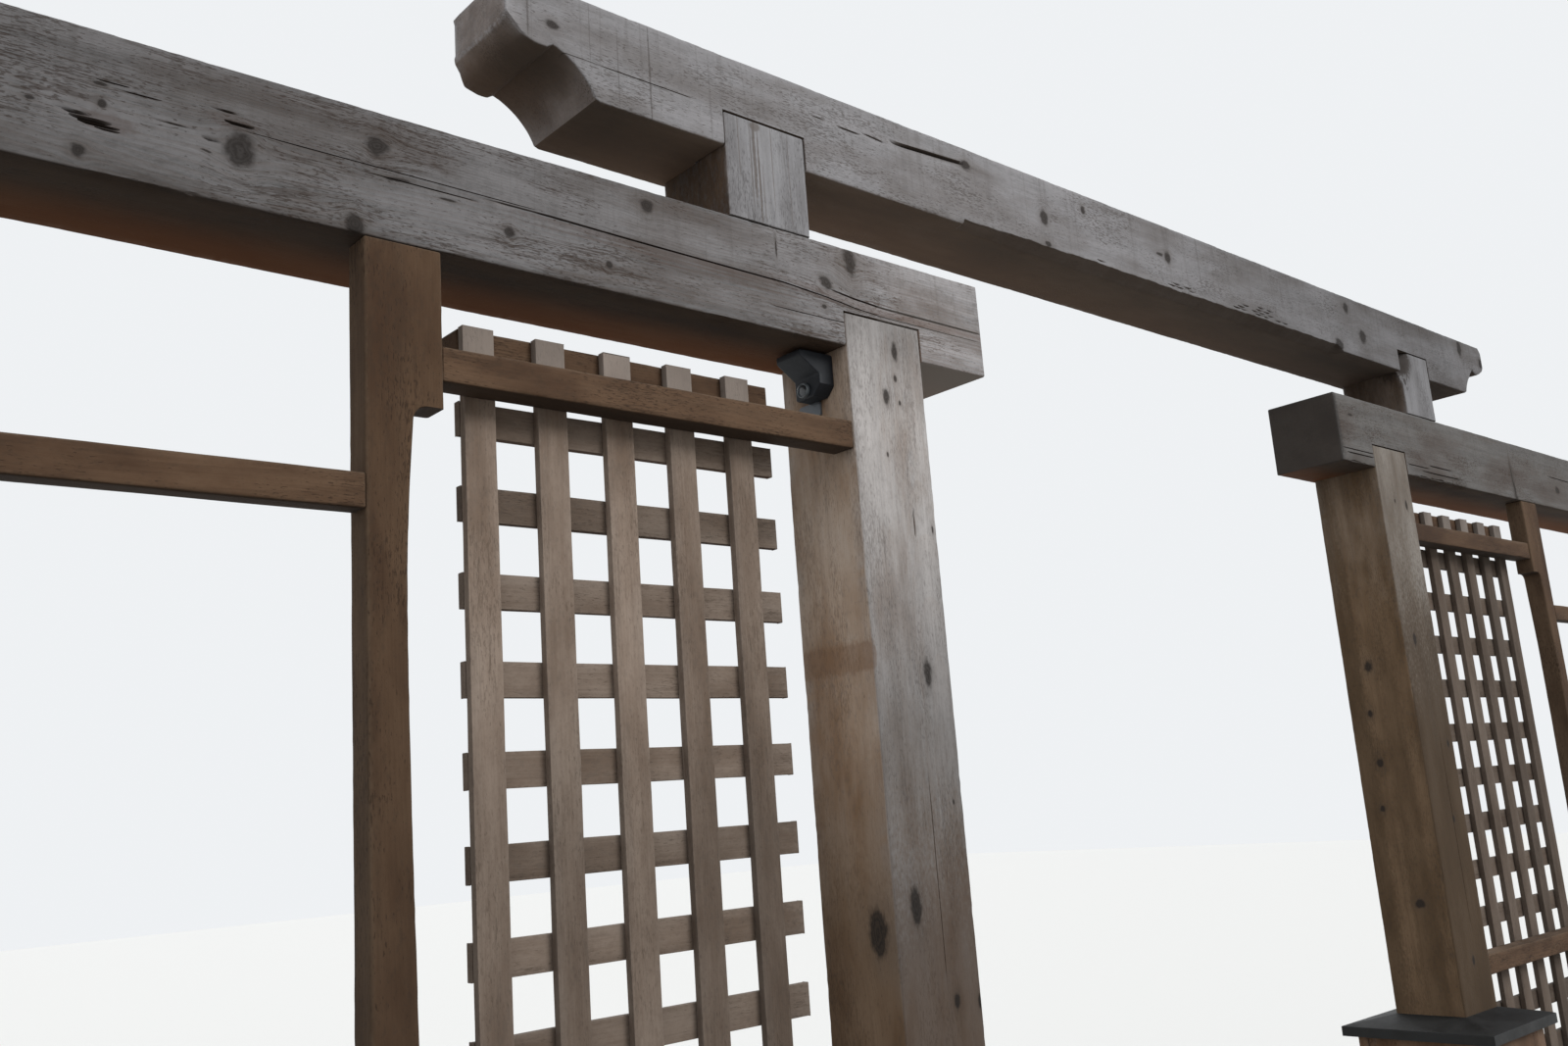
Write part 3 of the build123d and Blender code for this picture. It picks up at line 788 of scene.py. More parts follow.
# How each lower beam looks: the right one's darker greys and stains are partly its own colour and
# partly painted shade.
beam_looks = {
    "left": {"grey": ((93, 92, 92), (135, 133, 134)), "flames": 0.22, "lines": 0.55,
             "stain_colour": (82, 62, 52)},
    "right": {"grey": ((86, 84, 83), (114, 112, 110)), "flames": 0.12, "lines": 0.25,
              "stain_colour": (57, 54, 52)},
}


def grain_slide(track, place, height):
    """How far the grain slides up or down a beam's front at a place and a height over its foot.

    The track gives the slide along the beam; it fades out linearly right above the housings,
    and towards the top."""
    foot = np.clip((height - SLIDE_FOOT) / SLIDE_FOOT_FADE, 0, 1)
    top = np.clip((SLIDE_TOP - height) / SLIDE_TOP_FADE, 0, 1)
    return np.interp(place, *track) * (foot * top)


def front_slide(track, path, ring, height):
    """The slide of each point of a beam of that height: it is 0 but on the front."""
    height = (ARRIS + ring[:, 1] * (height - 2 * ARRIS))[None, :]
    return grain_slide(track, path[0][:, None], height) * (ring[:, 2] == -1)


def slid_knots(track, knots, foot):
    """Knots moved against the slide, so that they end up where the table has them."""
    return [((x, z - grain_slide(track, x, z - foot), y), size) for (x, z, y), size in knots]


def underside(path, ring):
    """1 on a beam's underside, clear of its end grain, and 0 elsewhere."""
    return (ring[:, 3] < -0.5) * (path[1] == 0)[:, None]


def bleach_and_light(material, share, pale):
    """Lay pale wood and painted light over a material's own colour, by a share from its nodes."""
    tree = material.node_tree
    shown = tree.nodes["Principled BSDF"].inputs["Base Color"]
    tree.links.new(mix(tree, share, shown.links[0].from_socket, colour(*pale)), shown)


for seed, side in enumerate(SIDES):
    low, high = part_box(f"{side}_beam")
    checks, track = beam_checks[side], beam_track[side]
    housings = [bearing(f"{side}_main_post"), bearing(f"{side}_outer_post")]
    ring = beam_ring(low, high, checks)
    path = stick_path(low.x, high.x, beam_step[side], step_stations(housings))
    limits = (low.y, high.y, low.z, high.z)
    sink, dark = groove_sink(path, ring, low.z, high.z, checks)
    sink = sink + chip_sink(path, ring, limits, beam_chips[side])
    slide = front_slide(track, path, ring, high.z - low.z)
    points = stick_points(path, ring, limits, LEVEL, sink, slide, seed + 20)
    points = house(points, path, low.y, low.z, housings)
    knots = slid_knots(track, beam_knots[side], low.z)
    wood = cedar(f"{side}_beam_cedar", (0, low.z - 0.05, high.y + 0.02), knots, beam_stains[side],
                 dripping=(high.z, 0.12, 0.25), **beam_looks[side])
    if side == "left":
        # Past the gateway post the stub's underside is laid pale: greyed as its front has, and
        # painted light from the open gateway.
        tree = wood.node_tree
        looks = node(tree, "TexCoord").outputs
        along = node(tree, "SeparateXYZ", {0: looks["Object"]}).outputs["X"]
        down = node(tree, "SeparateXYZ", {0: looks["Normal"]}).outputs["Z"]
        stub = calc(tree, "MULTIPLY", spread(tree, along, -0.01, 0.0),
                    spread(tree, down, -0.6, -0.9))
        bleach_and_light(wood, calc(tree, "MULTIPLY", stub, 0.85), (143, 136, 130))
    tone = np.interp(path[0], *beam_tone[side])[:, None]
    tone = tone + np.interp(path[0], *stub_shadow[side])[:, None] * underside(path, ring)
    stick = stick_mesh(points, limits, LEVEL, dark, slide=slide, tone=tone)
    make_piece(f"{side}_beam_timber", [stick], wood, "cedar", f"{side}_beam")


# Short posts: two stubs that stand on the lower beams and carry the upper one, let into its
# face. The right one comes from the log's edge: its gateway arris runs out into the round.

WANE_WIDTH = 0.048
WANE_DEPTH = 0.030
WANE_START = 0.064
WANE_RISE = 0.076

upper_low, upper_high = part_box("upper_beam")


def split_off(points, reaches, limit=1.0):
    """Cut a corner off along a plane: what lies outside moves onto it along its normal.

    The plane is the sum of (place - start) / reach = limit. Each reach has its axis and its
    start, and a negative one runs down from the start."""
    share = sum((points[..., axis] - start) / reach for axis, start, reach in reaches)
    push = np.clip(limit - share, 0, None) / sum(1 / reach ** 2 for _, _, reach in reaches)
    for axis, _, reach in reaches:
        points[..., axis] += push / reach


short_post_stains = {
    "left": [((2.375, -0.2075, FRONT), (0.055, 0.0022, 0.02), 0.60),
             ((2.350, -0.2010, FRONT), (0.060, 0.0012, 0.02), 0.75),
             ((2.421, -0.2040, FRONT), (0.006, 0.0080, 0.02), 0.55),
             ((2.360, -0.2135, FRONT), (0.050, 0.0008, 0.02), 0.60),
             ((2.375, -0.1780, FRONT), (0.060, 0.0009, 0.02), 0.45),
             ((2.330, -0.1950, FRONT), (0.040, 0.0010, 0.02), 0.40),
             ((2.390, -0.2330, FRONT), (0.045, 0.0009, 0.02), 0.45),
             ((2.360, -0.1500, FRONT), (0.070, 0.0012, 0.02), 0.30)],
    # The right one's last stain is painted shadow at the top of its wane, where it goes into the
    # upper beam.
    "right": [((2.360, 1.590, -0.062), (0.008, 0.005, 0.02), 0.80),
              ((2.345, 1.596, -0.062), (0.004, 0.003, 0.02), 0.60),
              ((2.412, 1.598, -0.046), (0.046, 0.034, 0.04), 0.90)],
}
for seed, side in enumerate(SIDES):
    low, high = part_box(f"{side}_short_post")
    ring = section_ring(np.linspace(0, 1, 26), np.linspace(0, 1, 22))
    path = stick_path(low.z, high.z, step=0.006, extra=[upper_low.z - EDGE, upper_low.z + EDGE])
    back = np.where(path[0] > upper_low.z, low.y + TONGUE_DEPTH, high.y)
    limits = (low.y, back, low.x, high.x)
    points = stick_points(path, ring, limits, UPRIGHT, seed=seed + 30)
    if side == "right":
        # The wane widens with the height above its start, in a slightly wavy line.
        rise = np.clip((points[..., 2] - low.z - WANE_START) / WANE_RISE, 0, None)
        rise = rise * (0.9 + 0.2 * ripple(3, points[..., 2], (0.031, 0.013)))
        split_off(points, [(0, low.x, WANE_WIDTH), (1, low.y, WANE_DEPTH)], rise)
    wood = cedar(f"{side}_short_post_cedar", (0, low.x - 0.03, high.y + 0.02), (),
                 short_post_stains[side], grey=((127, 126, 128), (150, 149, 151)), flames=0.03,
                 bands=0.25, dashes=0.35, shade=(0.05, 0.95, 0.0),
                 brown=((62, 49, 39), (92, 75, 60)),
                 stain_colour=(84, 72, 62) if side == "left" else (52, 44, 38),
                 dripping=(high.z, 0.20, 0.35))
    # The left one's outer side is painted paler than the rest, as painted light, and the right
    # one's front darker, as painted shade.
    tone = 3.0 * (ring[:, 3] < -0.5) if side == "left" else -1.2 * (ring[:, 2] < -0.5)
    make_piece(f"{side}_short_post_timber", [stick_mesh(points, limits, UPRIGHT, tone=tone)], wood,
               "cedar", f"{side}_short_post")


# Upper beam: one long timber over the gateway. Under each end it is sawn to a cove, a small
# quirk and an ovolo, and its front face is housed over the short posts. Its lower front arris
# is waney from a nick near the left short post to a knot, and both ends' corners are broken.

OGEE_START = 0.375
COVE = np.array([[0, 0], [0.0245, 0.0345], [0.057, 0.053]])
OVOLO = np.array([[0.065, 0.048], [0.095, 0.0525], [0.118, 0.071]])
BREAK_LENGTH = 0.011
BREAK_DROP = 0.013
TORN_RISE = ((0.028, 0.057, 0.059, 0.095, 0.118), (0.0, 0.011, 0.0075, 0.0075, 0.006))
SPLIT_LENGTH = 0.026
SPLIT_DEPTH = 0.020
CHIP = 0.007
WANE_ENDS = (0.194, 1.332)
WANE_HEIGHT = 0.0115
WANE_REACH = 0.024
NEAR_ARRIS = 0.002
OGEE_CLEAR = 0.045


def arc_height(x, three):
    """Height of the circle through three points at places x between the outer two."""
    (x0, z0), (x1, z1), (x2, z2) = three
    matrix = 2 * np.array([[x1 - x0, z1 - z0], [x2 - x0, z2 - z0]])
    right = [x1 ** 2 - x0 ** 2 + z1 ** 2 - z0 ** 2, x2 ** 2 - x0 ** 2 + z2 ** 2 - z0 ** 2]
    middle = np.linalg.solve(matrix, right)
    squared = (x0 - middle[0]) ** 2 + (z0 - middle[1]) ** 2 - (x - middle[0]) ** 2
    return middle[1] + np.sign(z1 - middle[1]) * np.sqrt(np.clip(squared, 0, None))


def ogee_height(outward):
    """How far the underside has risen at a place so far outward from the cove's foot."""
    cove = arc_height(np.clip(outward, *COVE[[0, 2], 0]), COVE)
    ovolo = arc_height(np.clip(outward, *OVOLO[[0, 2], 0]), OVOLO)
    quirk = np.interp(outward, [COVE[2, 0], OVOLO[0, 0]], [COVE[2, 1], OVOLO[0, 1]])
    height = np.where(outward <= COVE[2, 0], cove, np.where(outward < OVOLO[0, 0], quirk, ovolo))
    return np.where(outward <= 0, 0, height)


upper_checks = [(2.4300, -0.442, -0.30, 0.0014, 0.003), (2.4655, -0.052, -0.010, 0.0030, 0.004),
                (2.4695, -0.004, 0.040, 0.0030, 0.004), (2.4765, 0.052, 0.206, 0.0064, 0.012),
                (2.4680, -0.098, -0.080, 0.0020, 0.003)]
# Fibres torn out above the wane: the heights of their rows, and where each one starts.
TORN_LENGTH = 0.017
torn_fibres = {2.3990: (0.520, 0.725, 0.748, 0.782, 0.930, 0.955, 1.005, 1.030, 1.075, 1.100),
               2.4035: (0.738, 0.770, 0.944, 0.990, 1.018, 1.046), 2.4085: (0.962, 1.008, 1.036),
               2.4140: (1.014, 1.048)}
upper_checks += [(height, place, place + TORN_LENGTH, 0.0032, 0.0045)
                 for height, places in torn_fibres.items() for place in places]
upper_knots = [((-0.503, 2.460, FRONT), (0.008, 0.005, 0.012)),
               ((-0.467, 2.430, FRONT), (0.028, 0.0006, 0.012)),
               ((0.2085, 2.4800, FRONT), (0.010, 0.008, 0.012)),
               ((0.1500, 2.4768, FRONT), (0.062, 0.0024, 0.012)),
               ((0.3920, 2.3970, FRONT), (0.008, 0.005, 0.012)),
               ((0.388, 2.440, FRONT), (0.008, 0.012, 0.012)),
               ((0.494, 2.479, FRONT), (0.006, 0.007, 0.012)),
               ((0.729, 2.449, FRONT), (0.0085, 0.010, 0.012)),
               ((0.704, 2.450, FRONT), (0.010, 0.0030, 0.012)),
               ((1.370, 2.482, FRONT), (0.010, 0.010, 0.012)),
               ((1.426, 2.430, FRONT), (0.014, 0.014, 0.012)),
               ((1.905, 2.486, FRONT), (0.010, 0.017, 0.012)),
               ((2.012, 2.468, FRONT), (0.008, 0.010, 0.012)),
               ((1.318, 2.396, FRONT), (0.014, 0.011, 0.014))]
upper_stains = [((-0.367, 2.440, FRONT), (0.0014, 0.064, 0.02), 0.55),
                ((-0.413, 2.435, FRONT), (0.0008, 0.050, 0.02), 0.40),
                ((-0.535, 2.480, FRONT), (0.0012, 0.045, 0.02), 0.50),
                ((-0.452, 2.470, FRONT), (0.0008, 0.045, 0.02), 0.30),
                ((-0.275, 2.435, FRONT), (0.0016, 0.060, 0.02), 0.22),
                ((0.16, 2.4765, FRONT), (0.07, 0.005, 0.02), 0.30)]
upper_chips = [(0.176, 0.196, 0.010, 0.004), (1.345, 1.50, 0.008, 0.003)]
upper_track = ((-0.10, 0.0, 0.065, 0.205, 0.30), (0.0, 0.0, -0.0048, 0.0062, 0.0))
# How light the upper beam is along its length, in steps, with its left end face lighter as painted
# light.
upper_tone = ((-0.552, -0.54, 0.2, 0.7, 1.1, 1.4, 1.8, 1.9),
              (1.6, 0.0, 0.6, -0.4, -1.8, -2.2, -2.6, -2.0))
upper_under_tone = ((-0.40, -0.30, 0.05, 0.35), (0.0, 3.5, 3.5, 0.0))

low, high = upper_low, upper_high
inner_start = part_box("left_main_post")[0].x - OGEE_START
inner_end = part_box("right_main_post")[1].x + OGEE_START
housings = [bearing("left_short_post"), bearing("right_short_post")]
steps = np.concatenate([np.linspace(0.001, COVE[2, 0], 26), [0.058, 0.059],
                        np.linspace(*OVOLO[[0, 2], 0], 24)])
broken = high.x - BREAK_LENGTH * np.array([1, 0.75, 0.5])
wane_turns = np.add.outer(WANE_ENDS, [-0.002, 0.0, 0.002, 0.004]).ravel()
stations = np.concatenate([step_stations(housings), inner_start - steps, inner_end + steps, broken,
                           wane_turns])
stations = stations[(stations > low.x + 2 * ARRIS) & (stations < high.x - 2 * ARRIS)]
ring = beam_ring(low, high, upper_checks, WANE_HEIGHT + np.array([-4, -2, -1, 0, 1, 2]) / 1000,
                 WANE_REACH + np.array([-6, -2, 2]) / 1000)
path = stick_path(low.x, high.x, step=0.008, extra=stations)
outward = np.maximum(inner_start - path[0], path[0] - inner_end)
foot = low.z + ogee_height(outward)
torn = np.interp(path[0] - inner_end, *TORN_RISE)
foot = foot + torn * (0.9 + 0.2 * ripple(5, path[0], (0.031, 0.013)))
top = high.z - BREAK_DROP * np.clip((path[0] - high.x + BREAK_LENGTH) / BREAK_LENGTH, 0, 1)
sink, dark = groove_sink(path, ring, low.z, high.z, upper_checks)
sink = sink + chip_sink(path, ring, (low.y, high.y, low.z, high.z), upper_chips)
limits = (low.y, high.y, foot, top)
slide = front_slide(upper_track, path, ring, high.z - low.z)
points = stick_points(path, ring, limits, LEVEL, sink, slide, seed=40)
# The wane starts with a nick, widens a little, and runs out at the knot. At the left end the
# back corner has split off, and the front one is chipped where the ovolo starts.
turns = (WANE_ENDS[0] - 0.002, WANE_ENDS[0] + 0.002, WANE_ENDS[0] + 0.15, WANE_ENDS[1] - 0.02,
         WANE_ENDS[1] + 0.004)
run = np.interp(path[0], turns, (0, 0.75, 1, 1, 0))
run = run * (0.8 + 0.4 * ripple(9, path[0], (0.41, 0.17, 0.053, 0.021)))
split_off(points, [(2, low.z, WANE_HEIGHT), (1, low.y, WANE_REACH)], run[:, None])
split_off(points, [(0, low.x, SPLIT_LENGTH), (1, high.y, -SPLIT_DEPTH)])
split_off(points, [(0, low.x, CHIP), (1, low.y, CHIP), (2, low.z + OVOLO[2, 1], CHIP)])
points = house(points, path, low.y, foot, housings)
tone = np.interp(path[0], *upper_tone)[:, None]
tone = tone + np.interp(path[0], *upper_under_tone)[:, None] * underside(path, ring)
beam_stick = stick_mesh(points, limits, LEVEL, dark, slide=slide, tone=tone)
# The arrises of the ogee are worn like the long ones: rim is also the way to the nearest one.
flat, marks = beam_stick[0], beam_stick[3]
outward = np.maximum(inner_start - flat[:, :1], flat[:, :1] - inner_end)
to_corner = np.abs(outward - [0, COVE[2, 0], OVOLO[0, 0]]).min(axis=1)
rims = marks["rim"].ravel()
worn = (flat[:, 2] < high.z - OGEE_CLEAR) & (rims < NEAR_ARRIS)
marks["rim"] = np.where(worn, np.minimum(rims, to_corner), rims)
knots = slid_knots(upper_track, upper_knots, low.z)
# Its under colours hold painted shade, darker by the front arris.
wood = cedar("upper_beam_cedar", (0, low.z - 0.04, high.y + 0.01), knots, upper_stains,
             grey=((118, 117, 118), (149, 147, 149)), shade=(0.62, 0.95, 0.0), flames=0.05,
             bands=0.3, lines=0.12, dashes=0.5, under=((73, 63, 55), (94, 77, 65)), rubbed=0.55,
             stain_colour=(74, 68, 64), brown=((98, 78, 62), (134, 109, 88)),
             dripping=(high.z, 0.16, 0.30))
make_piece("upper_beam_timber", [beam_stick], wood, "cedar", "upper_beam")


# Inner posts: boards on edge between the lattice and the open bay. Each is broad at the top
# as a corbel under the beam, turns in by a ledge and a cove, and bows slightly to its foot.

CORBEL_HEIGHT = 0.168
LEDGE = 0.017
COVE_RADIUS = 0.016
WAIST_DEPTH = 0.009
WAIST_DROP = 0.196

gateway_middle = (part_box("left_main_post")[1].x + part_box("right_main_post")[0].x) / 2


def corbel_side(height, near, top, foot_of_bow):
    """Place of the inner post's shaped side at each height.

    From the top down: straight to the corbel's foot, a ledge, a quarter-circle cove, and a
    bow that leaves the straight by a half sine wave, deepest at the waist."""
    corbel_foot = top - CORBEL_HEIGHT
    cove_foot = corbel_foot - COVE_RADIUS
    shaft = near - LEDGE - COVE_RADIUS
    rise = np.clip(height - cove_foot, 0, COVE_RADIUS)
    cove = shaft + COVE_RADIUS - np.sqrt(np.clip(COVE_RADIUS ** 2 - rise ** 2, 0, None))
    waist = cove_foot - WAIST_DROP
    upper = np.clip((cove_foot - height) / (cove_foot - waist), 0, 1)
    lower = np.clip((height - foot_of_bow) / (waist - foot_of_bow), 0, 1)
    bow = WAIST_DEPTH * np.sin(np.pi / 2 * np.where(height > waist, upper, lower))
    side = np.where(height > cove_foot, cove, shaft - bow)
    return np.where(height > corbel_foot, near, side)


for seed, side in enumerate(SIDES):
    low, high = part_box(f"{side}_inner_post")
    bow_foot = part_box(f"{side}_mid_rail")[1].z
    corbel_foot = high.z - CORBEL_HEIGHT
    steps = corbel_foot - np.linspace(0, COVE_RADIUS, 9)[1:]
    path = stick_path(low.z, high.z, step=0.012,
                      extra=[corbel_foot - EDGE, corbel_foot + EDGE, *steps])
    ring = section_ring(np.linspace(0, 1, 16), np.linspace(0, 1, 6))
    near = high.x if side == "left" else 2 * gateway_middle - low.x
    shaped = corbel_side(path[0], near, high.z, bow_foot)
    edge_places = (low.x, shaped) if side == "left" else (2 * gateway_middle - shaped, high.x)
    limits = (low.y, high.y, *edge_places)
    points = stick_points(path, ring, limits, UPRIGHT, seed=seed + 50)
    wood = cedar(f"{side}_inner_post_cedar", (0, low.x - 0.06, high.y + 0.05),
                 sun=(0.3, 0.6, 0.7), shade=(0.7, 0.30, 0.0), brown=((66, 46, 31), (88, 64, 44)),
                 grey=((76, 62, 49), (100, 83, 67)), flames=0.10, bands=0.3)
    tone = np.interp(path[0], (1.2, 2.0), (-2.6, 0.0))[:, None]
    make_piece(f"{side}_inner_post_board", [stick_mesh(points, limits, UPRIGHT, tone=tone)], wood,
               "cedar", f"{side}_inner_post")


# Lattice: five upright slats of thin sawn cedar with twenty level ones nailed across behind
# them. Each slat comes from its own board, so its tone and figure are its own.

SLAT = 0.038
SLAT_THICKNESS = 0.011
SLAT_PITCH = 0.0893
SLAT_COUNT = 5
COURSE_COUNT = 20
SLAT_ARRIS = 0.0010
# How much darker the slats are along their length, in steps; the right wing's are darker all over
# as painted shade.
upright_darker = {"left": ((1.40, 1.54, 1.71, 1.87), (1.2, 1.0, -1.3, -2.0)),
                  "right": ((0.0,), (2.8,))}
level_darker = {"left": ((0.0,), (0.3,)), "right": ((0.0,), (2.54,))}


def slat(low, high, axes, draw, darker):
    """One slat between two corners, a little off true, with its own tone and figure.

    Darker gives places along the slat and how much darker it is there."""
    depth, across, along = axes
    ring = section_ring(np.linspace(0, 1, 4), np.linspace(0, 1, 3))
    path = stick_path(low[along], high[along], step=0.045, arris=SLAT_ARRIS)
    limits = (low[depth], high[depth], low[across], high[across])
    points = stick_points(path, ring, limits, axes, seed=int(draw.integers(1000)), waves=0.0010,
                          worn=4, arris=SLAT_ARRIS)
    return stick_mesh(points, limits, axes, 0, draw.uniform(-3, 3, 3),
                      tone=draw.uniform(-1, 1) - np.interp(path[0], *darker)[:, None])


# The slats' -X sides are greyed as much as their fronts, as painted light against the shade among
# them.
slat_cedar = cedar("slat_cedar", (0, 0, 0.6), ring=0.004, sun=(0.4, 0.6, 0.9),
                   shade=(0.9, 0.75, 0.1), brown=((98, 79, 63), (125, 104, 87)),
                   grey=((102, 90, 81), (131, 118, 107)), flames=0.08, bands=0.3, dashes=0.3)
# The upright slats' tops stand clear of the rail, where rain and sun have bleached them, and
# they are painted paler there as painted sunlight too.
tree = slat_cedar.node_tree
height = node(tree, "SeparateXYZ", {0: node(tree, "TexCoord").outputs["Object"]}).outputs["Z"]
clear_of_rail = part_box("left_top_rail")[1].z
top = spread(tree, height, clear_of_rail - 0.002, clear_of_rail + 0.004)
bleach_and_light(slat_cedar, calc(tree, "MULTIPLY", top, 0.6), (150, 141, 134))
for seed, side in enumerate(SIDES):
    draw = np.random.default_rng(seed + 60)
    low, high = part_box(f"{side}_lattice")
    rail_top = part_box(f"{side}_top_rail")[0].z
    rail_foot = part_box(f"{side}_bottom_rail")[1].z
    middle = low.y + SLAT_THICKNESS
    sticks = []
    for index in range(SLAT_COUNT):
        near = low.x + index * SLAT_PITCH
        if side == "right":
            near = high.x - index * SLAT_PITCH - SLAT
        sticks.append(slat((near, low.y, low.z), (near + SLAT, middle, high.z), UPRIGHT, draw,
                           upright_darker[side]))
    pitch = (rail_top - SLAT - rail_foot) / (COURSE_COUNT - 1)
    for index in range(COURSE_COUNT):
        top = rail_top - index * pitch
        sticks.append(slat((low.x, middle, top - SLAT), (high.x, high.y, top), LEVEL, draw,
                           level_darker[side]))
    make_piece(f"{side}_lattice_slats", sticks, slat_cedar, "lattice_cedar", f"{side}_lattice")


# Rails: squared cedar rails clamp the lattice's head and foot between them and cross it at
# plinth height, and thinner ones cross the open bay. Their ends butt against the posts.

rail_cedar = cedar("rail_cedar", (0, 0.6, 0.2), sun=(0.3, 0.6, 0.9), shade=(0.3, 0.35, 0.0),
                   brown=((68, 48, 34), (100, 74, 53)), grey=((76, 60, 47), (104, 86, 70)),
                   flames=0.14, bands=0.9, lines=0.35)
RAILS = ("top_rail", "mid_rail", "bottom_rail", "back_top_rail", "back_bottom_rail",
         "bay_top_rail", "bay_mid_rail", "bay_bottom_rail")
# The right wing's rails are darker by painted shade.
rail_painted_shade = {"left": 0, "right": 0.6}

for seed, side in enumerate(SIDES):
    draw = np.random.default_rng(seed + 70)
    for rail in RAILS:
        low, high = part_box(f"{side}_{rail}")
        ring = section_ring(np.linspace(0, 1, 7), np.linspace(0, 1, 5))
        path = stick_path(low.x, high.x, step=0.015)
        limits = (low.y, high.y, low.z, high.z)
        points = stick_points(path, ring, limits, LEVEL, seed=int(draw.integers(1000)))
        stick = stick_mesh(points, limits, LEVEL, 0, draw.uniform(-2, 2, 3),
                           tone=draw.uniform(-0.5, 0.5) - rail_painted_shade[side])
        make_piece(f"{side}_{rail}_timber", [stick], rail_cedar, "cedar", f"{side}_{rail}")


# Plinths: four boards nailed up as a box round each post's foot, front and back boards over
# the side boards' edges.

BOARD = 0.019
plinth_cedar = cedar("plinth_cedar", (0, 0.5, 0.3), sun=(0.25, 0.4, 0.5), shade=(0.25, 0.35, 0.1),
                     brown=((84, 58, 40), (118, 86, 60)), grey=((92, 82, 74), (118, 106, 96)))
SIDEWAYS = (0, 1, 2)
for seed, box_node in enumerate(("left_plinth_box", "right_plinth_box", "left_outer_plinth_box",
                                 "right_outer_plinth_box")):
    draw = np.random.default_rng(seed + 80)
    low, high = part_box(box_node)
    ring = section_ring(np.linspace(0, 1, 12), np.linspace(0, 1, 3))
    path = stick_path(low.z, high.z, step=0.03)
    boards = [(UPRIGHT, (low.y, low.y + BOARD, low.x, high.x)),
              (UPRIGHT, (high.y - BOARD, high.y, low.x, high.x)),
              (SIDEWAYS, (low.x, low.x + BOARD, low.y + BOARD, high.y - BOARD)),
              (SIDEWAYS, (high.x - BOARD, high.x, low.y + BOARD, high.y - BOARD))]
    sticks = []
    for axes, limits in boards:
        points = stick_points(path, ring, limits, axes, seed=int(draw.integers(1000)), waves=0.001)
        sticks.append(stick_mesh(points, limits, axes, 0, draw.uniform(-2, 2, 3)))
    make_piece(f"{box_node}_boards", sticks, plinth_cedar, "plinth_cedar", box_node)


# Plinth caps: low hipped caps of folded sheet metal, painted dark. Each fits round its post,
# falls to a straight fascia, and turns in under the plinth's boards.

FASCIA = 0.018
BEND = 0.0016
DENT = 0.0012
SIDE_STEPS = 24
metal, tree, surface = new_material("cap_paint")
where = node(tree, "TexCoord").outputs["Object"]
dust = noise(tree, where, (14, 14, 14), 4.0, 0.6)["Fac"]
spots = noise(tree, where, (160, 160, 160), 2.0)["Fac"]
paint = mix(tree, spread(tree, dust, 0.35, 0.75), colour(10, 11, 12), colour(24, 24, 23))
spotted = calc(tree, "MULTIPLY", spread(tree, spots, 0.6, 0.75), 0.22)
paint = mix(tree, spotted, paint, colour(56, 53, 48))
gloss = spread(tree, dust, 0.3, 0.8)
gloss = calc(tree, "ADD", calc(tree, "MULTIPLY", gloss, 0.3), 0.5)
wire(tree, surface, {"Base Color": paint, "Roughness": gloss, "Specular IOR Level": 0.3})

# The folded section, from the post outwards: a share of the way from the post to the cap's
# edge, and an inset from there. It falls to the bend, turns down the fascia, and comes back.
slope = np.linspace(0, 1, 8)[:-1]
bend = np.linspace(0, np.pi / 2, 4)
shares = np.concatenate([slope, np.ones(4), np.ones(3), np.linspace(1, 0, 6)])
insets = np.concatenate([0 * slope, BEND * (1 - np.sin(bend)), np.zeros(3), np.zeros(6)])
# Round the cap that section is carried along a square, side by side.
side_share = np.linspace(-1, 1, SIDE_STEPS + 1)[:-1]
ones = np.ones(SIDE_STEPS)
square = np.concatenate([np.stack(side, -1) for side in (
    (side_share, -ones), (ones, side_share), (-side_share, ones), (-ones, -side_share))])

cap_posts = {"left_plinth_cap": "left_main_post", "right_plinth_cap": "right_main_post",
             "left_outer_plinth_cap": "left_outer_post",
             "right_outer_plinth_cap": "right_outer_post"}
for seed, (cap_node, post_node) in enumerate(cap_posts.items()):
    low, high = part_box(cap_node)
    post_low, post_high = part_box(post_node)
    edge_top = low.z + FASCIA
    heights = np.concatenate([high.z - (high.z - low.z - FASCIA) * slope,
                              edge_top - BEND * (1 - np.cos(bend)),
                              edge_top - FASCIA * np.array([0.35, 0.65, 0.95]),
                              np.full(6, low.z)])
    inner = np.array([(post_high.x - post_low.x) / 2, (post_high.y - post_low.y) / 2])
    outer = np.array([(high.x - low.x) / 2, (high.y - low.y) / 2])
    middle = np.array([(high.x + low.x) / 2, (high.y + low.y) / 2])
    reach = inner + (outer - inner) * shares[:, None] - insets[:, None]
    points = np.empty((len(shares), len(square), 3))
    points[..., :2] = middle + reach[:, None, :] * square[None]
    points[..., 2] = heights[:, None]
    # The edges are pushed in here and there, each side along its own way outwards.
    dent = np.concatenate([ripple(seed * 4 + index, side_share, (0.9, 0.41, 0.19))
                           for index in range(4)])
    pushed = (shares == 1.0)[:, None] * dent[None, :] * DENT
    points[..., :2] -= pushed[..., None] * np.sign(square)[None] * (np.abs(square) == 1)[None]
    count, places = points.shape[:2]
    t, u = np.meshgrid(np.arange(count), np.arange(places), indexing="ij")
    here, onward, after = t * places, (t + 1) % count * places, (u + 1) % places
    quads = np.stack([here + u, onward + u, onward + after, here + after], -1).reshape(-1, 4)
    flat = points.reshape(-1, 3)
    sheet = (flat, *face_outwards(flat, quads, np.empty((0, 3), int)), {})
    make_piece(f"{cap_node}_sheet", [sheet], metal, "cap_metal", cap_node)


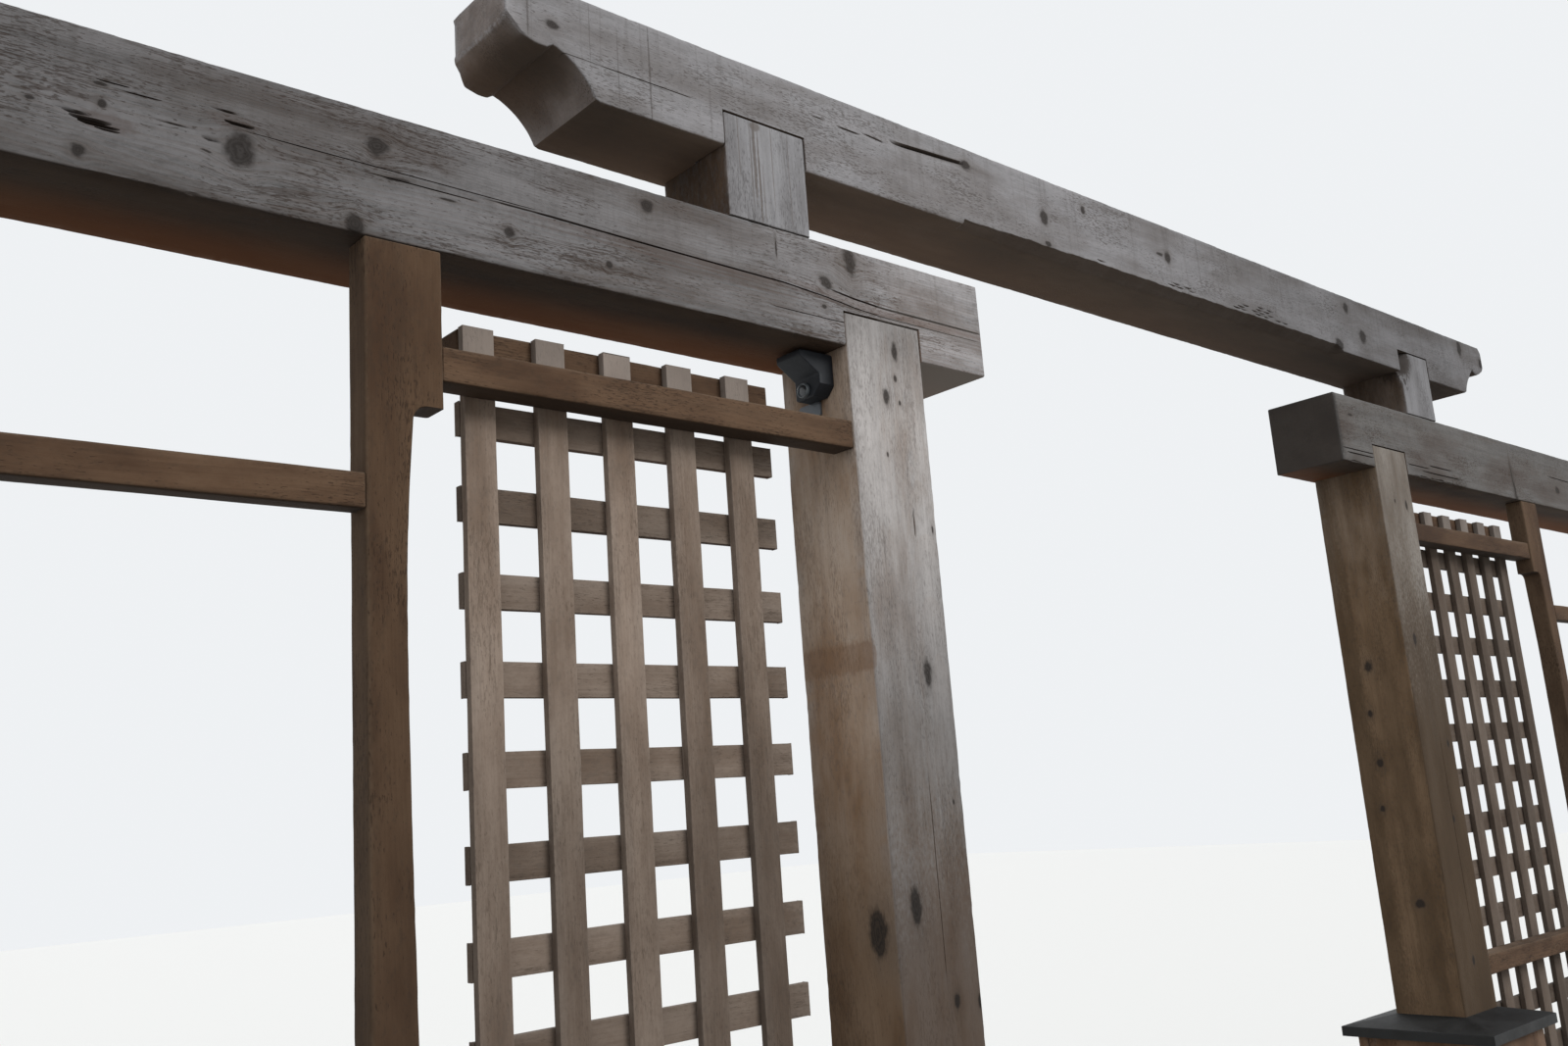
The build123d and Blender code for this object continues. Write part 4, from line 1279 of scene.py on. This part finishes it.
# Small light: a moulded housing of dark plastic, screwed under the beam to the left main
# post's outer side. Its hood juts out over a bezelled lens, and a thin bracket holds its foot.

light_low, light_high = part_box("light_housing")
plastic, tree, surface = new_material("light_plastic")
scuffs = noise(tree, node(tree, "TexCoord").outputs["Object"], (220, 220, 220), 3.0)["Fac"]
scuffed = mix(tree, spread(tree, scuffs, 0.5, 0.8), colour(15, 19, 25), colour(28, 34, 41))
wire(tree, surface, {"Base Color": scuffed, "Roughness": 0.6, "Specular IOR Level": 0.35})


def tube(points):
    """A closed tube of a grid of points, whose end stations are single points, as arrays."""
    flat = np.concatenate([points[0, :1], points[1:-1].reshape(-1, 3), points[-1, :1]])
    return (flat, *face_outwards(flat, *closed_faces(*points.shape[:2])), {})


def rounded_outline(corners, radius):
    """A polygon's outline with each corner rounded by a quadratic curve of the given reach."""
    corners = np.asarray(corners, float)
    before, after = np.roll(corners, 1, axis=0), np.roll(corners, -1, axis=0)
    to_before = (before - corners) / np.linalg.norm(before - corners, axis=1, keepdims=True)
    to_after = (after - corners) / np.linalg.norm(after - corners, axis=1, keepdims=True)
    share = np.linspace(0, 1, 6)[None, :, None]
    start, end = corners + to_before * radius, corners + to_after * radius
    curve = ((1 - share) ** 2 * start[:, None] + 2 * share * (1 - share) * corners[:, None]
             + share ** 2 * end[:, None])
    return curve.reshape(-1, 2)


CORNER = 0.014
HOOD_EDGE = 0.009
HOOD_FALL = 0.020
ROUNDING = 0.0025
BRACKET_CORNER = 0.004
face_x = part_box("light_lens")[1].x
hood_foot = light_high.z - HOOD_EDGE
outline = rounded_outline([(light_high.x, light_low.z), (light_high.x, light_high.z),
                           (light_low.x, light_high.z), (light_low.x, hood_foot),
                           (face_x, hood_foot - HOOD_FALL), (face_x, light_low.z)], ROUNDING)
# Stations run from the front to the back; at angle t an end's arris lies ROUNDING *
# (1 - sin t) inwards. Near the front the foot rises at 45 degrees to the cut corner.
turn = np.linspace(0, np.pi / 2, 5)
inset = ROUNDING * (1 - np.sin(turn))
start = ROUNDING * (1 - np.cos(turn))
body = np.array([0.2, 0.4, 0.6, 0.8, 1.0, 1.001]) * CORNER
depth = light_high.y - light_low.y
shift = np.concatenate([[0, 0], start, body, depth - start[::-1], [depth, depth]])
inset = np.concatenate([[ROUNDING] * 2, inset, 0 * body, inset[::-1], [ROUNDING] * 2])
close = np.ones(len(shift))
close[[0, -1]] = 0
close[[1, -2]] = 0.5
span = np.array([light_high.x - light_low.x, light_high.z - light_low.z])
centre = np.array([(light_high.x + face_x) / 2, (light_high.z + light_low.z) / 2])
drawn_in = 1 - 2 * inset[:, None, None] / span
points = np.empty((len(shift), len(outline), 3))
points[..., [0, 2]] = centre + (outline - centre)[None] * drawn_in * close[:, None, None]
points[..., 1] = light_low.y + shift[:, None]
foot = (light_low.z + CORNER - shift)[:, None]
points[..., 2] = np.where(close[:, None] > 0, np.maximum(points[..., 2], foot), points[..., 2])
make_piece("light_housing_shell", [tube(points)], plastic, "light_plastic", "light_housing")

lens_low, lens_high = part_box("light_lens")
bezel, tree, surface = new_material("light_bezel")
wire(tree, surface, {"Base Color": colour(88, 94, 98), "Roughness": 0.4})
glass, tree, surface = new_material("light_glass")
wire(tree, surface, {"Base Color": colour(26, 31, 36), "Roughness": 0.25, "Coat Weight": 0.3})


def turned(profile, axis_y, axis_z, count=32):
    """A shape turned about a level axis: each pair is a place along X and a radius."""
    angle = np.arange(count) / count * 2 * np.pi
    places, radii = np.array(profile).T
    points = np.empty((len(places), count, 3))
    points[..., 0] = places[:, None]
    points[..., 1] = axis_y + radii[:, None] * np.cos(angle)
    points[..., 2] = axis_z + radii[:, None] * np.sin(angle)
    return tube(points)


lens_y, lens_z = (lens_low.y + lens_high.y) / 2, (lens_low.z + lens_high.z) / 2
lens_radius = (lens_high.z - lens_low.z) / 2
back_x, front_x = lens_high.x, lens_low.x
ring_profile = [(back_x, 0), (back_x, lens_radius), (front_x + 0.001, lens_radius),
                (front_x + 0.0003, lens_radius - 0.0004), (front_x, lens_radius - 0.001),
                (front_x + 0.0002, lens_radius - 0.0014), (front_x + 0.0016, lens_radius - 0.0018),
                (front_x + 0.0018, 0)]
make_piece("light_bezel", [turned(ring_profile, lens_y, lens_z)], bezel, "light_glass",
           "light_lens")
dome = np.linspace(0, np.pi / 2, 7)
dome_radius = lens_radius - 0.0019
dome_profile = [(front_x + 0.0024, 0)] + [
    (front_x + 0.0022 - 0.0014 * math.sin(t), dome_radius * math.cos(t)) for t in dome]
make_piece("light_glass", [turned(dome_profile, lens_y, lens_z)], glass, "light_glass")

bracket_low, bracket_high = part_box("light_bracket")
zinc, tree, surface = new_material("bracket_zinc")
wire(tree, surface, {"Base Color": colour(92, 96, 101), "Roughness": 0.5, "Metallic": 0.3})
outline = rounded_outline([(bracket_low.y, bracket_low.z), (bracket_low.y, bracket_high.z),
                           (bracket_high.y, bracket_high.z), (bracket_high.y, bracket_low.z)],
                          BRACKET_CORNER)
centre = outline.mean(axis=0)
depths = np.array([0, 0, 0.0003, 0.0034, 0.0039, 0.004, 0.004])
insets = np.array([1, 0.03, 0, 0, 0.02, 0.05, 1])
points = np.empty((len(depths), len(outline), 3))
points[..., 0] = bracket_high.x - depths[:, None]
points[..., 1:] = centre + (outline - centre)[None] * (1 - insets)[:, None, None]
screw_x = bracket_low.x + 0.0012
screw_profile = [(screw_x, 0), (screw_x, 0.0028), (screw_x - 0.0006, 0.0026),
                 (screw_x - 0.0011, 0.0016), (screw_x - 0.0011, 0)]
screw = turned(screw_profile, bracket_high.y - 0.006, bracket_high.z - 0.005, 20)
make_piece("light_bracket_plate", [tube(points), screw], zinc, "light_bracket", "light_bracket")


# Floor and light: a plain floor that looks pale and throws little light back, a pale sky all
# round, a soft key from the upper right of the fence's front, a low fill from its left and a
# weaker lamp from behind.

FLOOR_SIZE = 30


def looked_at(tree):
    """1 where the camera sees a surface itself, or in a reflection or glass, and 0 for light."""
    rays = node(tree, "LightPath").outputs
    shown = calc(tree, "MAXIMUM", rays["Is Camera Ray"], rays["Is Glossy Ray"])
    return calc(tree, "MAXIMUM", shown, rays["Is Transmission Ray"])


floor_mesh = bpy.data.meshes.new("floor")
corners = [(-FLOOR_SIZE, -FLOOR_SIZE, 0), (FLOOR_SIZE, -FLOOR_SIZE, 0),
           (FLOOR_SIZE, FLOOR_SIZE, 0), (-FLOOR_SIZE, FLOOR_SIZE, 0)]
floor_mesh.from_pydata(corners, [], [(0, 1, 2, 3)])
floor = put("floor", floor_mesh)
floor_paint, tree, surface = new_material("floor_paint")
paint = mix(tree, looked_at(tree), colour(148, 146, 142), colour(232, 232, 230))
wire(tree, surface, {"Base Color": paint, "Roughness": 0.9})
floor_mesh.materials.append(floor_paint)

world = bpy.data.worlds.new("sky")
bpy.context.scene.world = world
world.use_nodes = True
tree = world.node_tree
sky = wire(tree, tree.nodes["Background"], {"Color": (0.96, 0.98, 1.0, 1), "Strength": 0.5})
seen = node(tree, "Background", {"Color": (0.86, 0.88, 0.9, 1), "Strength": 1.0})
mixed = node(tree, "MixShader", {0: looked_at(tree), 1: sky.outputs[0], 2: seen.outputs[0]})
wire(tree, tree.nodes["World Output"], {"Surface": mixed.outputs[0]})


def soft_sun(name, comes_from, strength, width):
    """A far lamp that shines from a direction, seen as wide as an angle in degrees."""
    lamp = bpy.data.lights.new(name, "SUN")
    lamp.energy = strength
    lamp.angle = math.radians(width)
    put(name, lamp).rotation_euler = Vector(comes_from).to_track_quat("Z", "Y").to_euler()


soft_sun("key", (0.30, -0.80, 0.62), 2.0, 28)
soft_sun("fill", (-0.85, -0.35, 0.30), 0.55, 40)
soft_sun("back", (0.30, 0.75, 0.60), 0.8, 35)


# Camera: where the picture was taken, a standing eye in front of the left bay that looks up
# and to the right along the fence.

EYE = (-1.2897, -1.2762, 1.5629)
HEADING = 41.92
PITCH = 11.78
ROLL = -4.16
LENS = 31.72
SENSOR_WIDTH = 36
camera_data = bpy.data.cameras.new("camera")
camera_data.lens = LENS
camera_data.sensor_width = SENSOR_WIDTH
camera = put("camera", camera_data)
turn = (Matrix.Rotation(math.radians(-HEADING), 4, "Z")
        @ Matrix.Rotation(math.radians(90 + PITCH), 4, "X")
        @ Matrix.Rotation(math.radians(ROLL), 4, "Z"))
camera.matrix_world = Matrix.Translation(EYE) @ turn
bpy.context.scene.camera = camera
bpy.context.scene.view_settings.view_transform = "Standard"
